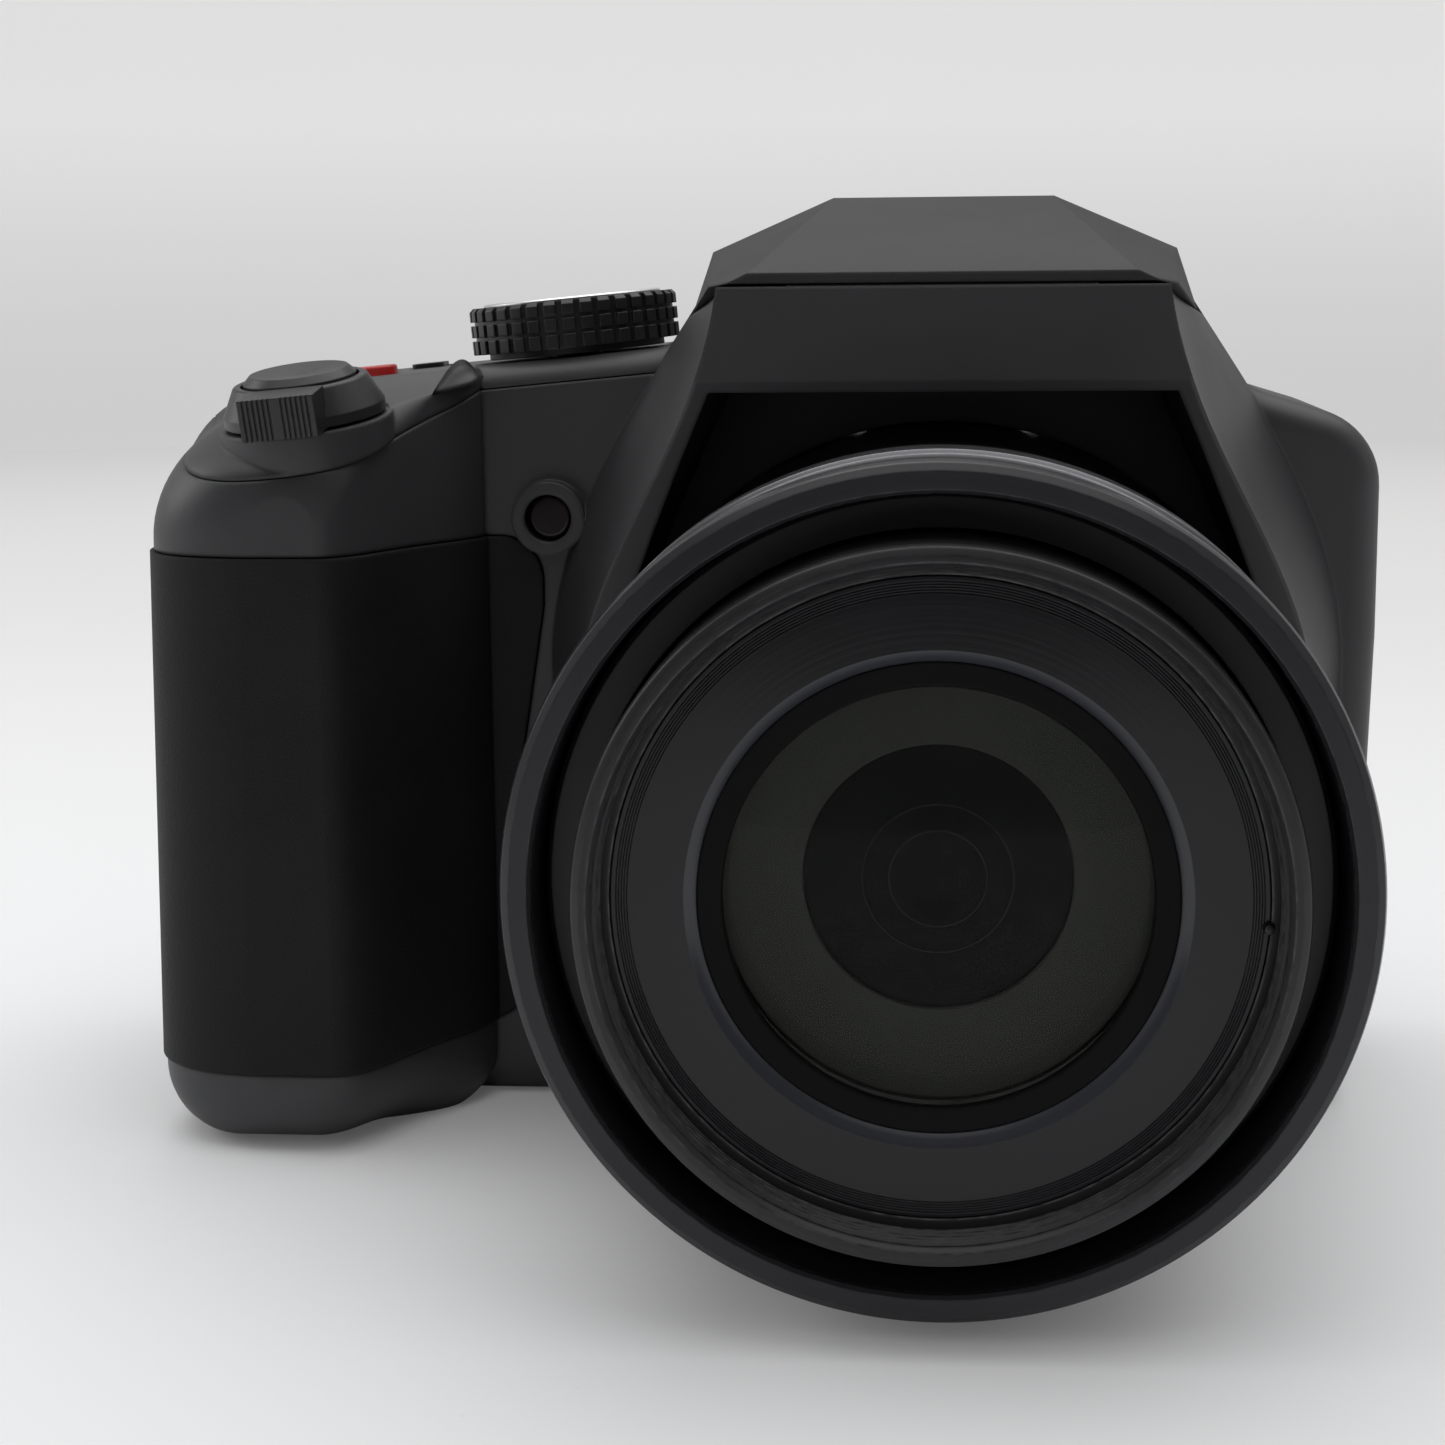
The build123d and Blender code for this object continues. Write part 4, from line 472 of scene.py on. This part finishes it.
for turn_count in range(thread_turns):
    ridges += [(thread_crest, mouth + 0.0035 - turn_count * thread_pitch),
               (thread_root, mouth + 0.0031 - turn_count * thread_pitch)]
inner_barrel = turned_piece(
    "inner_barrel_shell", "inner_barrel", "barrel_black", rim_worn,
    (shell_reach, mouth + 0.0009), (shell_reach, foot_front), (foot_reach, foot_front),
    (foot_reach, foot_back), (shell_bore, foot_back), (shell_bore, seat_back),
    (tube_reach, seat_back), (tube_reach, tube_back), (tube_bore, tube_back),
    (tube_bore, lip_back), (lip_bore, lip_back), (lip_bore, lip_front + 0.0002),
    (lip_bore + 0.0002, lip_front), (seat_bore, lip_front), (seat_bore, seat_face),
    (seat_reach, seat_face), (seat_reach, relief_back), (relief_reach, relief_back),
    (relief_reach, relief_front), (thread_root, relief_front), *ridges,
    (thread_root, mouth + 0.0005), (shell_bore, mouth), (shell_reach - 0.0008, mouth),
    (shell_reach - 0.0002, mouth + 0.0004), stands_for=("zoom_barrel_inner",))
repaint(inner_barrel, lip_black, lambda reach, depth: reach < tube_reach + 0.00015)

# A small stop beside the plate, against which a fitted ring ends: a turned steel pin, blackened,
# rounded at its tip and pressed into the barrel.
stop_spot = (0.02625, -0.0846, lens_axis.z - 0.0017)
mesh = bmesh.new()
bmesh.ops.create_cone(mesh, cap_ends=True, segments=16, radius1=0.00055, radius2=0.0004,
                      depth=0.0012, matrix=Matrix.Translation(stop_spot)
                      @ Matrix.Rotation(math.pi / 2, 4, "X"))
bmesh.ops.bevel(mesh, geom=mesh.edges[:], offset=0.00012, offset_type="OFFSET", affect="EDGES",
                segments=2, profile=0.5, material=-1)
ring_stop = new_piece("ring_stop", mesh, rim_worn)
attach(ring_stop, "inner_barrel")

# The plate round the front glass: a ring stamped from thin aluminium, lacquered a glossy black
# and glued to its seat. Fine grooves run round its rim, and a bevel round its bore, whose paler
# blue-grey is a painted reflection.
plate_lacquer = finish("plate_lacquer", (0.006, 0.006, 0.007), (0.009, 0.009, 0.011),
                       (0.03, 0.03, 0.035), (0.16, 0.2), barrel_lines, 0.00035, 0.000004,
                       radius=0.0001, specks=0.009, specular=0.35)
plate_bore, plate_rim, plate_face = 0.01946, 0.02645, -0.08420
groove_count, groove_pitch = 5, 0.00022
grooves = []
for step in range(groove_count):
    lip = plate_rim - 0.0004 - step * groove_pitch
    grooves += [(lip, plate_face), (lip - 0.00007, plate_face + 0.00008),
                (lip - 0.00014, plate_face)]
plate = turned_piece(
    "lens_plate", "inner_barrel", "lens_plate", plate_lacquer, (plate_bore, plate_face + 0.0014),
    (plate_rim, plate_face + 0.0014), (plate_rim, plate_face + 0.0001),
    (plate_rim - 0.0001, plate_face), *grooves, (plate_bore + 0.0010, plate_face),
    (plate_bore + 0.0008, plate_face + 0.0001), (plate_bore, plate_face + 0.0009),
    stands_for=("name_ring",))
# The bevel's paler blue-grey colour is a painted reflection.
bevel_reflection_tint = finish("bevel_reflection_tint", (0.022, 0.023, 0.028), (0.03, 0.031, 0.038),
                       (0.06, 0.06, 0.07), (0.2, 0.26), barrel_lines, 0.00035, 0.000004,
                       radius=0.0001)
repaint(plate, bevel_reflection_tint, lambda reach, depth: reach < plate_bore + 0.00095)

# The baffle behind the front glass: a moulded ring of matte grey-green plastic, snapped in to
# keep stray light off the elements behind it.
baffle_matte = finish("baffle_matte", (0.013, 0.0138, 0.012), (0.017, 0.018, 0.0155),
                      (0.03, 0.03, 0.028), (0.75, 0.85), moulded_grain, 0.0003, 0.00001)
dress(baffle_matte, "lens_baffle")


# The glass: front element, inner element, focusing group and eyepiece, ground, polished and
# coated, and the flash's moulded clear window. The coating takes most of the gleam away, so the
# coated glass has a low index here.
def glass(name, tint, ior, rough):
    """Clear glass with faint wipe marks in its coating."""
    material, tree, shader, place = blank_material(name)
    smears = put(tree, "TexNoise", {"Vector": place, "Scale": 130.0, "Detail": 5.0,
                                    "Distortion": 1.5}).outputs["Fac"]
    tree.links.new(blended(tree, spread(tree, smears, 0.3, 0.7), tint,
                           [c * 0.96 for c in tint]), shader.inputs["Base Color"])
    tree.links.new(spread(tree, smears, 0.45, 0.75, *rough), shader.inputs["Roughness"])
    shader.inputs["Transmission Weight"].default_value = 1.0
    shader.inputs["IOR"].default_value = ior
    return material


coated_glass = glass("coated_glass", (0.93, 0.95, 0.92), 1.13, (0.0, 0.02))
dress(coated_glass, "front_lens", "focus_lens", "eyepiece_lens")
# The inner element's glass is tinted nearly black: painted shade that keeps the view deep into the
# lens dark.
inner_shade_glass = glass("inner_shade_glass", (0.004, 0.005, 0.003), 1.13, (0.0, 0.02))
dress(inner_shade_glass, "inner_lens")
lamp_glass = glass("lamp_glass", (0.9, 0.9, 0.88), 1.49, (0.05, 0.15))
dress(lamp_glass, "flash_window")

# The rings in the pupil: the rims of the small elements further in, seen through the front
# glass. They are turned very thin and blackened with matte paint.
pupil_face, rim_wide, rim_high = -0.07493, 0.00008, 0.00002
for reach in (0.0040, 0.0062):
    turned_piece(f"pupil_ring_{reach * 10000:.0f}", "inner_barrel", "baffle_grey", baffle_matte,
                 (reach, pupil_face), (reach + rim_wide / 2, pupil_face - rim_high),
                 (reach + rim_wide, pupil_face))

# The autofocus lamp: a clear red-brown moulding in the raised ring beside the grip, held from
# behind. It is nearly black when it is off.
lamp_red = finish("lamp_red", (0.007, 0.003, 0.003), (0.012, 0.004, 0.004), (0.05, 0.02, 0.02),
                  (0.12, 0.2), moulded_grain, 0.0006, 0.000005)
dress(lamp_red, "af_lamp")

# The screen: a black hard-coated window, glued into the rear cover in front of a dark panel. The
# small display inside the viewfinder is made alike.
screen_black = finish("screen_black", (0.004, 0.004, 0.005), (0.006, 0.006, 0.008),
                      (0.02, 0.02, 0.02), (0.05, 0.09), moulded_grain, 0.002, 0.000001,
                      specks=0.011)
dress(screen_black, "lcd_window", "lcd_panel", "evf_display")

# Metal: strap lugs, tripod socket, pins and the chassis are bare or plated steel, bent, turned
# or stamped. The screws, the motor's can and the capacitor's are darker.
steel = finish("steel", (0.55, 0.55, 0.56), (0.64, 0.64, 0.65), (0.8, 0.8, 0.8), (0.22, 0.36),
               moulded_grain, 0.0006, 0.000005, metallic=1.0)
dress(steel, "strap_lugs", "tripod_socket", "door_pins", "flash_hinge_pin", "chassis")
dark_steel = finish("dark_steel", (0.06, 0.06, 0.062), (0.09, 0.09, 0.09), (0.3, 0.3, 0.3),
                    (0.3, 0.42), moulded_grain, 0.0005, 0.000005, metallic=1.0)
dress(dark_steel, "base_screws", "zoom_motor", "flash_capacitor")

# What is inside: green circuit boards with the sensor and the sockets, the battery and the card
# in their grey box, and the bright stamped reflector of the flash lamp.
board_green = finish("board_green", (0.012, 0.05, 0.02), (0.016, 0.07, 0.03), (0.1, 0.14, 0.1),
                     (0.3, 0.4), moulded_grain, 0.001, 0.00001)
dress(board_green, "main_board", "image_sensor", "terminal_sockets")
inner_grey = finish("inner_grey", (0.05, 0.05, 0.055), (0.07, 0.07, 0.075), (0.12, 0.12, 0.12),
                    (0.4, 0.55), moulded_grain, 0.0005, 0.00002)
dress(inner_grey, "battery", "battery_box", "memory_card")
reflector = finish("reflector", (0.75, 0.75, 0.74), (0.85, 0.85, 0.84), (0.9, 0.9, 0.9),
                   (0.15, 0.25), moulded_grain, 0.001, 0.00001, metallic=1.0)
dress(reflector, "flash_lamp")
